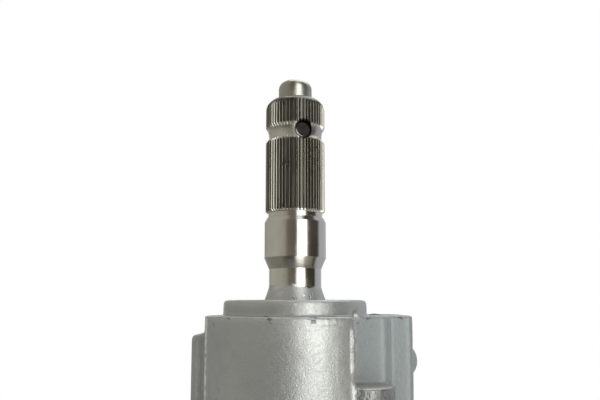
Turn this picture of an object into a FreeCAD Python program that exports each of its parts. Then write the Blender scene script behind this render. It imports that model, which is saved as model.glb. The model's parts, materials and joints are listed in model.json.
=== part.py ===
# Integral power steering gearbox: a splined input shaft turns a rotary valve and a worm,
# the worm drives a rack piston through a train of balls, and the rack turns a sector shaft.
# Millimetres. +Z runs up the input shaft, the sector shaft lies along Y, and the origin is
# the centre of the flat bottom rim of the gear housing.
import FreeCAD, Part
import math
import os

V = FreeCAD.Vector
X, Y, Z = V(1, 0, 0), V(0, 1, 0), V(0, 0, 1)
FULL_TURN = 360.0
PARTS = "parts"

# Clearances and gaps
running_gap = 0.06
fit_gap = 0.03
end_gap = 0.1
roll_gap = 0.02
stop_gap = 1.5

# Rack, sector and piston
piston_bore_dia = 64.0
piston_gap = 0.12
gear_module = 4.0
full_circle_teeth = 14
sector_teeth = 5
pressure_angle = math.radians(25.0)
flank_gap = 0.12
sector_swing = math.radians(40.0)
sector_width = 30.0
rack_inset = 3.0
nut_wall = 3.2
piston_skirt = 17.0
piston_plug_thickness = 8.0
piston_head_length = 8.5
piston_ring_width = 2.6
piston_ring_depth = 2.4

# Ball screw
worm_lead = 11.2
circuit_turns = 3
ball_dia = 6.35
ball_gap = 0.12
thread_gap = 0.3
ball_spacing = 1.12
guide_wall = 0.8
guide_bend_radius = 5.0
clamp_screw_dia = 4.0
clamp_foot = 1.6

# Gear housing
housing_wall = 8.0
rim_height = 4.2
end_plug_thickness = 7.5
wire_dia = 2.4
housing_flange_height = 20.0
mount_face_reach = 47.0
mount_spacing_y = 52.0
mount_low_height = 24.0
mount_spacing_z = 104.0
mount_boss_dia = 25.0
mount_hole_dia = 10.3
mount_hole_depth = 18.0

# Sector chamber, side cover and output side
chamber_gap = 2.0
chamber_wall = 7.0
cover_face_reach = 38.0
cover_thickness = 9.0
cover_boss_height = 9.0
cover_bolt_dia = 8.0
sector_journal_dia = 28.0
bush_wall = 3.0
bush_setback = 4.0
bush_inset = 3.5
hub_wall = 4.0
needle_dia = 2.0
sector_needle_count = 30
shell_wall = 1.0
output_boss_length = 34.0
output_boss_wall = 7.0
output_bearing_length = 22.0
output_bearing_setback = 3.0
output_seal_gap = 1.0
output_ring_land = 1.3
output_seal_height = 6.0
retaining_ring_thickness = 1.3
retaining_ring_bite = 1.2
serration_length = 24.0
serration_taper = 0.055
serration_count = 36
serration_depth = 0.9
pitman_thread_dia = 22.0
pitman_thread_length = 18.0
pitman_nut_height = 14.0
pitman_nut_flats = 34.0
washer_thickness = 2.6
adjuster_dia = 10.0
adjuster_reach = 18.0
adjuster_head_dia = 13.0
adjuster_head_thickness = 3.0
locknut_height = 6.0
locknut_flats = 17.0

# Valve housing
barrel_dia = 53.0
collar_dia = 42.4
collar_height = 4.5
collar_round = 1.3
ear_thickness = 14.0
ear_radius = 10.0
valve_bolt_dia = 8.0
valve_bolt_length = 30.0
ring_seal_dia = 2.4
port_block_reach = 34.4
port_block_front = 4.0
port_block_rear = 30.0
port_block_height = 54.0
pocket_height = 18.3
pocket_face = 12.0
pocket_edge = 15.8
column_reach = 27.2
column_round = 3.4
lug_rise = 3.9
lug_drop = 5.6
lug_depth = 14.0
lug_front = 2.0
pressure_port_dia = 14.4
return_port_dia = 16.2
port_depth = 11.0
port_chamfer = 1.2
port_relief = 0.4
seat_nose_height = 3.0
seat_clearance = 0.2
seat_shank = 3.5
port_drop = 12.0
port_offset = 16.0
oil_way_dia = 5.0
dome_plug_dia = 7.8
dome_plug_rise = 1.65
dome_plug_drop = 13.8
dome_plug_back = 7.0
dome_plug_shank = 5.0
top_plug_dia = 4.0
top_plug_rise = 0.45
top_plug_shank = 4.0
top_plug_x = 24.5

# Input shaft, from the collar upwards
spline_dia = 18.0
spline_depth = 0.62
spline_count = 52
seal_journal_dia = 20.0
flare_height = 3.9
neck_dia = 15.7
neck_height = 5.3
neck_taper_height = 3.3
ground_journal_dia = 18.6
ground_journal_height = 10.6
relief_step = 0.18
relief_height = 1.4
long_spline_height = 21.7
pinch_groove_height = 5.0
pinch_groove_low = 2.1
pinch_groove_step = 0.33
short_spline_height = 5.4
shoulder_height = 3.3
torsion_head_dia = 10.2
torsion_tip_height = 5.95
torsion_tip_round = 2.4
pin_dia = 5.0
pin_recess = 0.9
pin_turn = math.radians(18.5)
pin_lift = 0.7

# Valve, bearings and seals inside the valve housing, from the collar downwards
top_bore_dia = 30.0
dust_seal_height = 2.6
oil_seal_height = 7.0
input_needle_length = 12.0
input_needle_count = 26
bearing_lip = 2.0
sleeve_dia = 37.0
sleeve_length = 36.0
spool_dia = 24.0
spool_length = 27.0
valve_slot_count = 8
valve_slot_width = 3.4
valve_slot_depth = 1.4
valve_slot_length = 17.0
thrust_race_thickness = 1.0
thrust_needle_dia = 2.0
thrust_needle_count = 24
worm_flange_thickness = 6.6
race_nut_height = 8.0
valve_play = math.radians(4.5)
drive_pin_dia = 3.0
drive_pin_bite = 2.5
torsion_bar_dia = 6.6

# Places that follow from the sizes above
bore_r = piston_bore_dia / 2
piston_r = bore_r - piston_gap
pitch_r = gear_module * full_circle_teeth / 2
tip_r = pitch_r + gear_module
root_r = pitch_r - 1.25 * gear_module
travel = pitch_r * sector_swing
rack_tip_x = bore_r - rack_inset
rack_pitch_x = rack_tip_x - gear_module
rack_root_x = rack_pitch_x - 1.25 * gear_module
sector_x = -(rack_pitch_x + pitch_r)
tooth_pitch = math.pi * gear_module
rack_half = (sector_teeth // 2) * tooth_pitch + 1.5 * gear_module
ball_r = ball_dia / 2
groove_r = ball_r + ball_gap
ball_circle_r = rack_root_x - nut_wall - groove_r
worm_r = ball_circle_r - thread_gap
nut_bore_r = ball_circle_r + thread_gap
end_stack = rim_height + end_plug_thickness
piston_bottom = end_stack + stop_gap + travel
sector_z = piston_bottom + piston_skirt + rack_half
plug_top = piston_bottom + piston_plug_thickness
worm_end = plug_top + travel + stop_gap
circuit_low = worm_end + travel + 0.8 * ball_dia
circuit_half = circuit_turns * worm_lead / 2
circuit_mid = circuit_low + circuit_half
circuit_high = circuit_mid + circuit_half
guide_outer_r = groove_r + guide_wall
piston_top = circuit_high + guide_outer_r + piston_head_length
joint_z = piston_top + travel + stop_gap
relief_bore_r = nut_bore_r + 1.2
plug_r = relief_bore_r + 1.0

chamber_r = tip_r + chamber_gap
pod_r = chamber_r + chamber_wall
chamber_back = sector_width / 2 + chamber_gap
cover_bolt_r = cover_bolt_dia / 2
cover_bolt_circle_r = chamber_r + cover_bolt_r + 2.0
cover_r = cover_bolt_circle_r + cover_bolt_dia * 0.8
journal_r = sector_journal_dia / 2
needle_r = needle_dia / 2
needle_circle_r = journal_r + running_gap + needle_r
shell_inner_r = needle_circle_r + needle_r + fit_gap
shell_outer_r = shell_inner_r + shell_wall
output_end = chamber_back + chamber_wall + output_boss_length
output_bore_r = shell_outer_r + fit_gap

collar_r = collar_dia / 2
barrel_r = barrel_dia / 2
lug_reach = barrel_r + lug_rise
top_bore_r = top_bore_dia / 2
seal_r = ring_seal_dia / 2
seal_groove_r = bore_r + 2.2 + seal_r
valve_bolt_r = valve_bolt_dia / 2
valve_bolt_circle_r = seal_groove_r + seal_r + valve_bolt_r + 1.6
flange_side_r = valve_bolt_circle_r - 3.0
sleeve_r = sleeve_dia / 2
spool_r = spool_dia / 2
valve_bore_r = sleeve_r + running_gap * 2
cavity_r = sleeve_r + 6.5
race_nut_r = cavity_r + 2.0
seal_journal_r = seal_journal_dia / 2
input_needle_circle_r = seal_journal_r + running_gap + needle_r
input_shell_inner_r = input_needle_circle_r + needle_r + fit_gap
input_shell_outer_r = input_shell_inner_r + shell_wall

dust_seal_depth = 0.2
ring_depth = dust_seal_depth + dust_seal_height + end_gap
oil_seal_depth = ring_depth + retaining_ring_thickness + end_gap
input_bearing_depth = oil_seal_depth + oil_seal_height + 0.7
lip_depth = input_bearing_depth + input_needle_length + end_gap
sleeve_depth = lip_depth + bearing_lip + end_gap
cavity_depth = sleeve_depth + sleeve_length + end_gap
thrust_height = thrust_race_thickness + thrust_needle_dia + 2 * roll_gap
worm_flange_depth = cavity_depth + thrust_height
race_nut_depth = worm_flange_depth + worm_flange_thickness + thrust_height + end_gap
valve_housing_depth = race_nut_depth + race_nut_height
collar_z = joint_z + valve_housing_depth
top_z = collar_z - collar_height
spool_top_depth = sleeve_depth + 0.5
spool_bottom_depth = spool_top_depth + spool_length
hub_top_depth = spool_bottom_depth + end_gap
worm_flange_z = collar_z - worm_flange_depth
drive_pin_z = collar_z - sleeve_depth - sleeve_length + drive_pin_dia


# Shape helpers

def tube(r_out, r_in, z0, z1, x=0.0, y=0.0):
    """A ring or, with no inner radius, a disc, standing on z0 and reaching z1."""
    body = Part.makeCylinder(r_out, z1 - z0, V(x, y, z0))
    if r_in > 0:
        body = body.cut(Part.makeCylinder(r_in, z1 - z0 + 2, V(x, y, z0 - 1)))
    return body


def box(x0, x1, y0, y1, z0, z1):
    """A block between two corners."""
    return Part.makeBox(x1 - x0, y1 - y0, z1 - z0, V(x0, y0, z0))


def turned(points):
    """A solid of revolution about Z. A point is (radius, height); a point marked with a
    third item is the middle of an arc from the point before it to the one after."""
    edges = []
    count = len(points)
    index = 0
    while index < count:
        here = V(points[index][0], 0, points[index][1])
        after = points[(index + 1) % count]
        if len(after) == 3:
            end = points[(index + 2) % count]
            arc = Part.Arc(here, V(after[0], 0, after[1]), V(end[0], 0, end[1]))
            edges.append(arc.toShape())
            index += 2
        else:
            there = V(after[0], 0, after[1])
            if here.distanceToPoint(there) > 1e-6:
                edges.append(Part.makeLine(here, there))
            index += 1
    return Part.Face(Part.Wire(edges)).revolve(V(0, 0, 0), Z, FULL_TURN)


def bevelled_ring(r_out, r_in, z0, z1, bevel):
    """A ring whose outer edges are bevelled."""
    return turned([(r_in, z0), (r_out - bevel, z0), (r_out, z0 + bevel),
                   (r_out, z1 - bevel), (r_out - bevel, z1), (r_in, z1)])


def rounded_outline(corners):
    """A flat face at z 0 from (x, y, corner radius) items, each corner a tangent arc."""
    edges = []
    starts = []
    count = len(corners)
    for i, (x, y, radius) in enumerate(corners):
        here = V(x, y, 0)
        before = V(corners[i - 1][0], corners[i - 1][1], 0) - here
        after = V(corners[(i + 1) % count][0], corners[(i + 1) % count][1], 0) - here
        before.normalize()
        after.normalize()
        half = before.getAngle(after) / 2
        if radius <= 0:
            starts.append((here, here, None))
            continue
        reach = radius / math.tan(half)
        bisector = (before + after).normalize()
        middle = here + bisector * (radius / math.sin(half) - radius)
        starts.append((here + before * reach, here + after * reach, middle))
    for i, (entry, leave, middle) in enumerate(starts):
        if middle is not None:
            edges.append(Part.Arc(entry, middle, leave).toShape())
        following = starts[(i + 1) % count][0]
        if leave.distanceToPoint(following) > 1e-6:
            edges.append(Part.makeLine(leave, following))
    return Part.Face(Part.Wire(edges))


def raised(face, z0, z1):
    """A flat face at z 0 drawn up into a block from z0 to z1."""
    block = face.extrude(V(0, 0, z1 - z0))
    block.translate(V(0, 0, z0))
    return block


def hexagon(flats, z0, z1, bevel):
    """A hexagonal block with its corners bevelled by a turned cone."""
    corner_r = flats / math.sqrt(3)
    points = [V(corner_r * math.cos(math.radians(60 * k)),
                corner_r * math.sin(math.radians(60 * k)), z0) for k in range(7)]
    prism = Part.Face(Part.makePolygon(points)).extrude(V(0, 0, z1 - z0))
    drop = bevel * 0.6
    rounding = turned([(0, z0), (corner_r - bevel, z0), (corner_r, z0 + drop),
                       (corner_r, z1 - drop), (corner_r - bevel, z1), (0, z1)])
    return prism.common(rounding)


def around(shape, count, first=0.0):
    """Copies of a shape, evenly spaced about Z."""
    copies = []
    for k in range(count):
        copy = shape.copy()
        copy.rotate(V(0, 0, 0), Z, first + k * FULL_TURN / count)
        copies.append(copy)
    return copies


def along_sector(shape):
    """A shape drawn along Z about the origin, moved on to the sector axis: Z becomes +Y."""
    moved = shape.copy()
    moved.rotate(V(0, 0, 0), X, -90)
    moved.translate(V(sector_x, 0, sector_z))
    return moved


def ring_cord(ring_r, cord_r, z):
    """A round-section ring about Z."""
    return Part.makeTorus(ring_r, cord_r, V(0, 0, z))


def save(name, shapes):
    """Writes the closed solids of one sub-part to its own file."""
    if not isinstance(shapes, (list, tuple)):
        shapes = [shapes]
    solids = [s for shape in shapes for s in shape.Solids]
    for solid in solids:
        if not solid.isValid():
            raise ValueError(name + " has a solid that is not valid")
    whole = solids[0] if len(solids) == 1 else Part.makeCompound(solids)
    whole.exportStep(os.path.join(PARTS, name + ".step"))
    print(name, len(solids), round(sum(s.Volume for s in solids), 1))


# Input shaft and torsion bar

spline_r = spline_dia / 2
spline_root_r = spline_r - spline_depth
relief_r = spline_root_r - relief_step
flare_z = collar_z + flare_height
taper_z = flare_z + neck_height
ground_z = taper_z + neck_taper_height
relief_z = ground_z + ground_journal_height + 1.3
long_spline_z = relief_z + relief_height
pinch_z = long_spline_z + long_spline_height
short_spline_z = pinch_z + pinch_groove_height
shoulder_z = short_spline_z + short_spline_height
shaft_top_z = shoulder_z + shoulder_height
tip_z = shaft_top_z + torsion_tip_height
groove_z = pinch_z + pinch_groove_low
pin_z = groove_z + pin_lift
torsion_head_r = torsion_head_dia / 2
shaft_bore_r = torsion_head_r + fit_gap
pin_direction = V(math.sin(pin_turn), -math.cos(pin_turn), 0)
torsion_head_bottom = pin_z - 2 * pin_dia
hub_r = spool_r - running_gap
tab_depth = 3.4
tab_width = 4.6
tab_inner_r = spool_r * 0.62


def bow(depth, length):
    """How far an arc has left its tangent halfway, when it leaves it by depth over the length."""
    radius = (length ** 2 + depth ** 2) / (2 * depth)
    return radius - math.sqrt(radius ** 2 - (length / 2) ** 2)


def input_shaft():
    neck_r = neck_dia / 2
    ground_r = ground_journal_dia / 2
    groove_floor_r = spline_root_r - pinch_groove_step
    depth = spline_r - groove_floor_r
    low, high = groove_z - pinch_z, short_spline_z - groove_z
    chamfer = spline_r - relief_r
    spool_top = collar_z - spool_top_depth
    spool_bottom = collar_z - spool_bottom_depth
    shoulder_r = torsion_head_r + 0.7
    flare_r = neck_r + (seal_journal_r - neck_r) * 0.62
    body = turned([
        (shaft_bore_r, spool_bottom), (spool_r - 0.4, spool_bottom),
        (spool_r, spool_bottom + 0.4), (spool_r, spool_top - 0.4), (spool_r - 0.4, spool_top),
        (seal_journal_r, spool_top), (seal_journal_r, collar_z - 1.6),
        (flare_r, collar_z), (neck_r + (flare_r - neck_r) * 0.42, collar_z + flare_height / 2, "arc"),
        (neck_r, flare_z), (neck_r, taper_z), (ground_r, ground_z),
        (ground_r, relief_z - 1.3), (relief_r + 0.5, relief_z), (relief_r, relief_z),
        (relief_r, long_spline_z), (spline_r, long_spline_z + chamfer),
        (spline_r, pinch_z), (groove_floor_r + bow(depth, low), pinch_z + low / 2, "arc"),
        (groove_floor_r, groove_z),
        (groove_floor_r + bow(depth, high), groove_z + high / 2, "arc"), (spline_r, short_spline_z),
        (spline_r, shoulder_z),
        ((spline_r + shoulder_r) / 2 + 0.75, shoulder_z + shoulder_height * 0.62, "arc"),
        (shoulder_r, shaft_top_z), (shaft_bore_r, shaft_top_z)])
    body = body.fuse(spool_tabs())
    body = body.cut(thread_of_splines())
    cross_hole = Part.makeCylinder(pin_dia / 2 + fit_gap, 2 * spline_dia,
                                   V(0, 0, pin_z) - pin_direction * spline_dia, pin_direction)
    body = body.cut(cross_hole)
    slot_top = spool_top - 5.0
    slot = box(spool_r - valve_slot_depth, spool_r + 1, -valve_slot_width / 2,
               valve_slot_width / 2, slot_top - valve_slot_length, slot_top)
    step = FULL_TURN / valve_slot_count / 2
    body = body.cut(Part.makeCompound(around(slot, valve_slot_count, step)))
    lower_bore = tube(shaft_bore_r + 0.5, shaft_bore_r - 1, spool_bottom - 1, spool_bottom)
    return body.cut(lower_bore)


def spool_tabs():
    """Two tabs under the spool that stop in the worm's slots."""
    bottom = collar_z - spool_bottom_depth
    ring = tube(spool_r - 0.4, tab_inner_r, bottom - tab_depth, bottom + 0.5)
    bar = box(-spool_dia, spool_dia, -tab_width / 2, tab_width / 2, bottom - tab_depth, bottom + 1)
    return ring.common(bar)


def thread_of_splines():
    """The V grooves between the straight teeth, over both splined lengths."""
    half = math.pi * spline_root_r / spline_count
    mouth = half * 1.12
    floor = half * 0.36
    over = 0.5
    spread = mouth + (mouth - floor) * over / spline_depth
    face = Part.Face(Part.makePolygon([
        V(spline_root_r, -floor, 0), V(spline_r + over, -spread, 0),
        V(spline_r + over, spread, 0), V(spline_root_r, floor, 0),
        V(spline_root_r, -floor, 0)]))
    groove = raised(face, relief_z + relief_height / 2, shaft_top_z + 1)
    return Part.makeCompound(around(groove, spline_count))


def torsion_bar():
    worm_socket_z = worm_flange_z - worm_flange_thickness + 1.0
    bar_r = torsion_bar_dia / 2
    round_r = torsion_tip_round
    corner = round_r * (1 - math.sqrt(0.5))
    body = turned([
        (0, worm_socket_z), (torsion_head_r - 1, worm_socket_z),
        (torsion_head_r - 0.6, worm_socket_z + 0.5),
        (torsion_head_r - 0.6, worm_flange_z + 2), (bar_r, worm_flange_z + 4),
        (bar_r, torsion_head_bottom - 3), (torsion_head_r, torsion_head_bottom),
        (torsion_head_r, tip_z - round_r),
        (torsion_head_r - corner, tip_z - corner, "arc"),
        (torsion_head_r - round_r, tip_z), (0, tip_z)])
    hole = Part.makeCylinder(pin_dia / 2 + fit_gap, 2 * spline_dia,
                             V(0, 0, pin_z) - pin_direction * spline_dia, pin_direction)
    return body.cut(hole)


def torsion_bar_pin():
    half = spline_root_r - pinch_groove_step - pin_recess
    pin = turned([(0, -half), (pin_dia / 2 - 0.4, -half), (pin_dia / 2, 0.4 - half),
                  (pin_dia / 2, half - 0.4), (pin_dia / 2 - 0.4, half), (0, half)])
    pin.rotate(V(0, 0, 0), X, 90)
    pin.rotate(V(0, 0, 0), Z, math.degrees(pin_turn))
    pin.translate(V(0, 0, pin_z))
    return pin


# Worm, valve sleeve and thrust bearings

def helix_groove(low, high):
    """The round groove that the balls run in, swept along a right-hand helix in lengths of
    up to one turn. Its turns line up with the ball circuit, which starts on the +X side."""
    count = math.ceil((high - low) / worm_lead)
    step = (high - low) / count
    tangent = V(0, 2 * math.pi * ball_circle_r, worm_lead)
    section = Part.Wire(Part.makeCircle(groove_r, V(ball_circle_r, 0, 0), tangent))
    lengths = []
    for k in range(count):
        start = low + k * step
        path = Part.Wire(Part.makeHelix(worm_lead, step, ball_circle_r))
        length = path.makePipeShell([section], True, True)
        length.rotate(V(0, 0, 0), Z, FULL_TURN * (start - circuit_low) / worm_lead)
        length.translate(V(0, 0, start))
        lengths.append(length)
    return lengths


def worm_shaft():
    flange_r = cavity_r - 1.0
    flange_top = worm_flange_z
    flange_bottom = flange_top - worm_flange_thickness
    hub_top = collar_z - hub_top_depth
    shank_r = ball_circle_r - groove_r * 0.6
    groove_top = circuit_high + travel + ball_dia
    thread_top = groove_top - groove_r
    shank_z = thread_top + worm_r - shank_r
    thread = turned([
        (0, worm_end), (worm_r - 1, worm_end), (worm_r, worm_end + 1),
        (worm_r, thread_top), (shank_r, shank_z), (0, shank_z)])
    thread = thread.cut(helix_groove(worm_end - ball_dia, groove_top))
    body = turned([
        (0, shank_z), (shank_r, shank_z), (shank_r, flange_bottom - 2),
        (shank_r + 2, flange_bottom), (flange_r, flange_bottom), (flange_r, flange_top),
        (hub_r, flange_top), (hub_r, hub_top), (0, hub_top)])
    body = body.fuse(thread).removeSplitter()
    socket = Part.makeCylinder(torsion_head_r - 0.6 + fit_gap, hub_top - flange_bottom,
                               V(0, 0, flange_bottom + 1.0 - end_gap))
    body = body.cut(socket)
    pin_hole = Part.makeCylinder(drive_pin_dia / 2 + fit_gap, sleeve_dia,
                                 V(0, hub_r - drive_pin_bite - fit_gap, drive_pin_z), Y)
    body = body.cut(pin_hole)
    room = tab_width + 2 * (spool_r * math.sin(valve_play) + 0.25)
    slot = box(-spool_dia, spool_dia, -room / 2, room / 2, hub_top - tab_depth - 0.6, hub_top + 1)
    inner = Part.makeCylinder(tab_inner_r - 0.6, tab_depth + 0.6, V(0, 0, hub_top - tab_depth - 0.6))
    return body.cut(slot).cut(inner)


def sleeve_drive_pin():
    """The peg in the worm's hub that turns the sleeve."""
    inner = hub_r - drive_pin_bite
    return Part.makeCylinder(drive_pin_dia / 2, sleeve_r - 0.6 - inner, V(0, inner, drive_pin_z), Y)


def valve_sleeve():
    top = collar_z - sleeve_depth
    bottom = top - sleeve_length
    body = bevelled_ring(sleeve_r, spool_r + running_gap, bottom, top, 0.4)
    for k in range(3):
        middle = band_height(k)
        body = body.cut(tube(sleeve_r + 1, sleeve_r - 1.5, middle - 2.2, middle + 2.2))
        holes = Part.makeCylinder(1.4, sleeve_r, V(spool_r - 1, 0, middle), X)
        body = body.cut(Part.makeCompound(around(holes, valve_slot_count // 2, 45.0 * k)))
    for k in range(4):
        low = ring_height(k)
        body = body.cut(tube(sleeve_r + 1, sleeve_r - 1.7, low, low + 2.0))
    slot_top = top - 5.5
    slot = box(spool_r - 1, spool_r + valve_slot_depth, -valve_slot_width / 2,
               valve_slot_width / 2, slot_top - valve_slot_length, slot_top)
    body = body.cut(Part.makeCompound(around(slot, valve_slot_count)))
    notch = Part.makeCylinder(drive_pin_dia / 2 + fit_gap, sleeve_dia, V(0, 0, drive_pin_z), Y)
    return body.cut(notch)


def sleeve_pitch():
    """Height from one band or ring of the sleeve to the next."""
    return (sleeve_length - 9.0) / 3


def ring_height(k):
    return collar_z - sleeve_depth - 2.2 - k * sleeve_pitch() - 2.0


def band_height(k):
    return ring_height(k) + 1.0 - sleeve_pitch() / 2


def valve_sleeve_rings():
    rings = []
    for k in range(4):
        low = ring_height(k) + 0.05
        rings.append(tube(sleeve_r + running_gap, sleeve_r - 1.6, low, low + 1.9))
    return rings


def thrust_races():
    inner_r = hub_r + 1.2
    roll_height = thrust_needle_dia + 2 * roll_gap
    upper_z = worm_flange_z + roll_height
    lower_z = worm_flange_z - worm_flange_thickness - roll_height
    upper = tube(cavity_r - fit_gap, sleeve_r - 1.2, upper_z, upper_z + thrust_race_thickness)
    lower = tube(cavity_r - fit_gap, inner_r, lower_z - thrust_race_thickness, lower_z)
    return [upper, lower]


def thrust_needles():
    """Both sets of rollers, each in its thin cage ring between the worm flange and a race."""
    sets = []
    roller_r = thrust_needle_dia / 2
    inner_r = sleeve_r - 0.4
    outer_r = cavity_r - 1.2
    lift = roller_r + roll_gap
    for middle in (worm_flange_z + lift, worm_flange_z - worm_flange_thickness - lift):
        cage = tube(outer_r + 0.2, inner_r - 0.6, middle - 0.35, middle + 0.35)
        roller = Part.makeCylinder(roller_r, outer_r - inner_r, V(inner_r, 0, middle), X)
        window = Part.makeCylinder(roller_r + 0.05, outer_r - inner_r + 0.1,
                                   V(inner_r - 0.05, 0, middle), X)
        rollers = around(roller, thrust_needle_count)
        cage = cage.cut(Part.makeCompound(around(window, thrust_needle_count)))
        sets.append((cage, rollers))
    return sets


# Rack piston and its ball circuit

def rack_space():
    """One space of the rack, a straight-flanked wedge across the piston."""
    half = tooth_pitch / 4
    tip_half = half + gear_module * 1.3 * math.tan(pressure_angle)
    root_half = half - 1.25 * gear_module * math.tan(pressure_angle)
    out_x = -(rack_pitch_x + 1.3 * gear_module)
    face = Part.Face(Part.makePolygon([
        V(-rack_root_x, -piston_bore_dia, -root_half), V(out_x, -piston_bore_dia, -tip_half),
        V(out_x, -piston_bore_dia, tip_half), V(-rack_root_x, -piston_bore_dia, root_half),
        V(-rack_root_x, -piston_bore_dia, -root_half)]))
    return face.extrude(V(0, 2 * piston_bore_dia, 0))


pocket_floor_x = ball_circle_r + groove_r + 3.2
guide_run_x = pocket_floor_x + guide_outer_r * 0.75
guide_leg_x = ball_circle_r + groove_r + end_gap
ring_groove_z = piston_top - 2.4 - piston_ring_width


def guide_path(z_low, z_high):
    """The line of the ball guide: out of the nut, over the top and back in."""
    bend = guide_bend_radius
    outer = guide_run_x
    diagonal = bend * (1 - math.sqrt(0.5))
    lower = Part.Arc(V(outer - bend, 0, z_low), V(outer - diagonal, 0, z_low + diagonal),
                     V(outer, 0, z_low + bend)).toShape()
    upper = Part.Arc(V(outer, 0, z_high - bend), V(outer - diagonal, 0, z_high - diagonal),
                     V(outer - bend, 0, z_high)).toShape()
    return Part.Wire([
        Part.makeLine(V(guide_leg_x, 0, z_low), V(outer - bend, 0, z_low)), lower,
        Part.makeLine(V(outer, 0, z_low + bend), V(outer, 0, z_high - bend)), upper,
        Part.makeLine(V(outer - bend, 0, z_high), V(guide_leg_x, 0, z_high))])


def guide_tube(radius):
    """A round bar along the guide's line."""
    section = Part.Wire(Part.makeCircle(radius, V(guide_leg_x, 0, circuit_low), X))
    return guide_path(circuit_low, circuit_high).makePipeShell([section], True, False)


def ball_return_guide():
    return guide_tube(guide_outer_r).cut(guide_tube(groove_r))


def screw_places():
    side = guide_outer_r + 4.2
    return [V(pocket_floor_x, side, circuit_mid), V(pocket_floor_x, -side, circuit_mid)]


def rack_piston():
    ring_floor = piston_r - piston_ring_depth
    groove_top = ring_groove_z + piston_ring_width
    body = turned([
        (plug_r, piston_bottom), (piston_r - 1, piston_bottom), (piston_r, piston_bottom + 1),
        (piston_r, ring_groove_z), (ring_floor, ring_groove_z), (ring_floor, groove_top),
        (piston_r, groove_top), (piston_r, piston_top - 1), (piston_r - 1, piston_top),
        (nut_bore_r, piston_top), (nut_bore_r, circuit_low - ball_dia),
        (relief_bore_r, circuit_low - ball_dia - 1), (relief_bore_r, plug_top),
        (plug_r, plug_top)])
    flat = box(-2 * bore_r, -rack_tip_x, -bore_r, bore_r, sector_z - rack_half, sector_z + rack_half)
    body = body.cut(flat)
    for k in range(-(sector_teeth // 2), sector_teeth // 2 + 1):
        space = rack_space()
        space.translate(V(0, 0, sector_z + k * tooth_pitch))
        body = body.cut(space)
    body = body.cut(helix_groove(circuit_low, circuit_high))
    low, high = circuit_low, circuit_high
    half = guide_outer_r + 0.3
    reach = guide_run_x + bore_r
    body = body.cut(box(pocket_floor_x, reach, -half, half, low - half, high + half))
    wide = guide_outer_r + 8.4
    body = body.cut(box(pocket_floor_x, reach, -wide, wide, circuit_mid - 6, circuit_mid + 6))
    for height in (low, high):
        leg_hole = Part.makeCylinder(guide_outer_r + 0.05, bore_r, V(ball_circle_r - 1, 0, height), X)
        body = body.cut(leg_hole)
    channel = box(pocket_floor_x - 2.0, pocket_floor_x + 1, -half, half,
                  low - half * 0.3, high + half * 0.3)
    body = body.cut(channel)
    for place in screw_places():
        body = body.cut(Part.makeCylinder(clamp_screw_dia / 2 + fit_gap, 7.0, place - X * 6.5, X))
    return body


def ball_train():
    """The balls of the working circuit, spaced a little apart along the helix."""
    turn_length = math.hypot(2 * math.pi * ball_circle_r, worm_lead)
    count = int(circuit_turns * turn_length / (ball_dia * ball_spacing))
    balls = []
    for k in range(count):
        share = (k + 0.5) / count
        angle = 2 * math.pi * circuit_turns * share
        height = circuit_low + (circuit_high - circuit_low) * share
        balls.append(Part.makeSphere(ball_r, V(ball_circle_r * math.cos(angle),
                                               ball_circle_r * math.sin(angle), height)))
    return balls


def guide_clamp():
    """The strap that holds the guide down, with a foot under each screw."""
    side = guide_outer_r + 7.6
    foot = clamp_foot
    inner = guide_outer_r + 0.1
    outline = rounded_outline([
        (pocket_floor_x + fit_gap, -side, 0), (pocket_floor_x + foot, -side, 0.4),
        (pocket_floor_x + foot, -inner - 1.2, 0.4), (guide_run_x + inner + 1.2, -inner - 1.2, 2.5),
        (guide_run_x + inner + 1.2, inner + 1.2, 2.5), (pocket_floor_x + foot, inner + 1.2, 0.4),
        (pocket_floor_x + foot, side, 0.4), (pocket_floor_x + fit_gap, side, 0),
        (pocket_floor_x + fit_gap, inner, 0), (guide_run_x + inner, inner, 1.2),
        (guide_run_x + inner, -inner, 1.2), (pocket_floor_x + fit_gap, -inner, 0)])
    strap = raised(outline, circuit_mid - 5, circuit_mid + 5)
    for place in screw_places():
        strap = strap.cut(Part.makeCylinder(clamp_screw_dia / 2 + 0.2, 6, place - X, X))
    return strap


def guide_clamp_screws():
    screws = []
    head_r = clamp_screw_dia * 0.7
    for place in screw_places():
        seat = place + X * (clamp_foot + fit_gap)
        shank = Part.makeCylinder(clamp_screw_dia / 2, clamp_foot + 5.5, place - X * 5.0, X)
        head = Part.makeCylinder(head_r, 2.2, seat, X)
        slot = box(seat.x + 1.2, seat.x + 3, seat.y - 4, seat.y + 4, seat.z - 0.5, seat.z + 0.5)
        screws.append(shank.fuse(head).cut(slot).removeSplitter())
    return screws


def piston_end_plug():
    body = bevelled_ring(plug_r - fit_gap, 0, piston_bottom, plug_top - fit_gap, 0.8)
    socket = hexagon(12.0, piston_bottom - 1, piston_bottom + 5, 0.01)
    return body.cut(socket)


def piston_ring():
    low = ring_groove_z + 0.05
    return tube(bore_r - 0.04, piston_r - piston_ring_depth / 2, low, low + piston_ring_width - 0.1)


def piston_backing_ring():
    cord_r = (piston_ring_depth / 2 - 0.06) / 2
    return ring_cord(piston_r - piston_ring_depth + cord_r + 0.02, cord_r,
                     ring_groove_z + piston_ring_width / 2)


# Sector shaft, drawn along Z and then laid on the sector axis

cover_bore_end = cover_face_reach + cover_thickness - 2.0
sector_front = -(cover_bore_end - 2.0)
slot_lip = 3.0
slot_floor = adjuster_head_thickness + 0.5
serration_start = output_end + 4.0
serration_big_r = journal_r - 0.7
serration_end = serration_start + serration_length
serration_small_r = serration_big_r - serration_length * serration_taper
thread_end = serration_end + 2.0 + pitman_thread_length
pitman_thread_r = pitman_thread_dia / 2


def involute(value):
    return math.tan(value) - value


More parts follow.
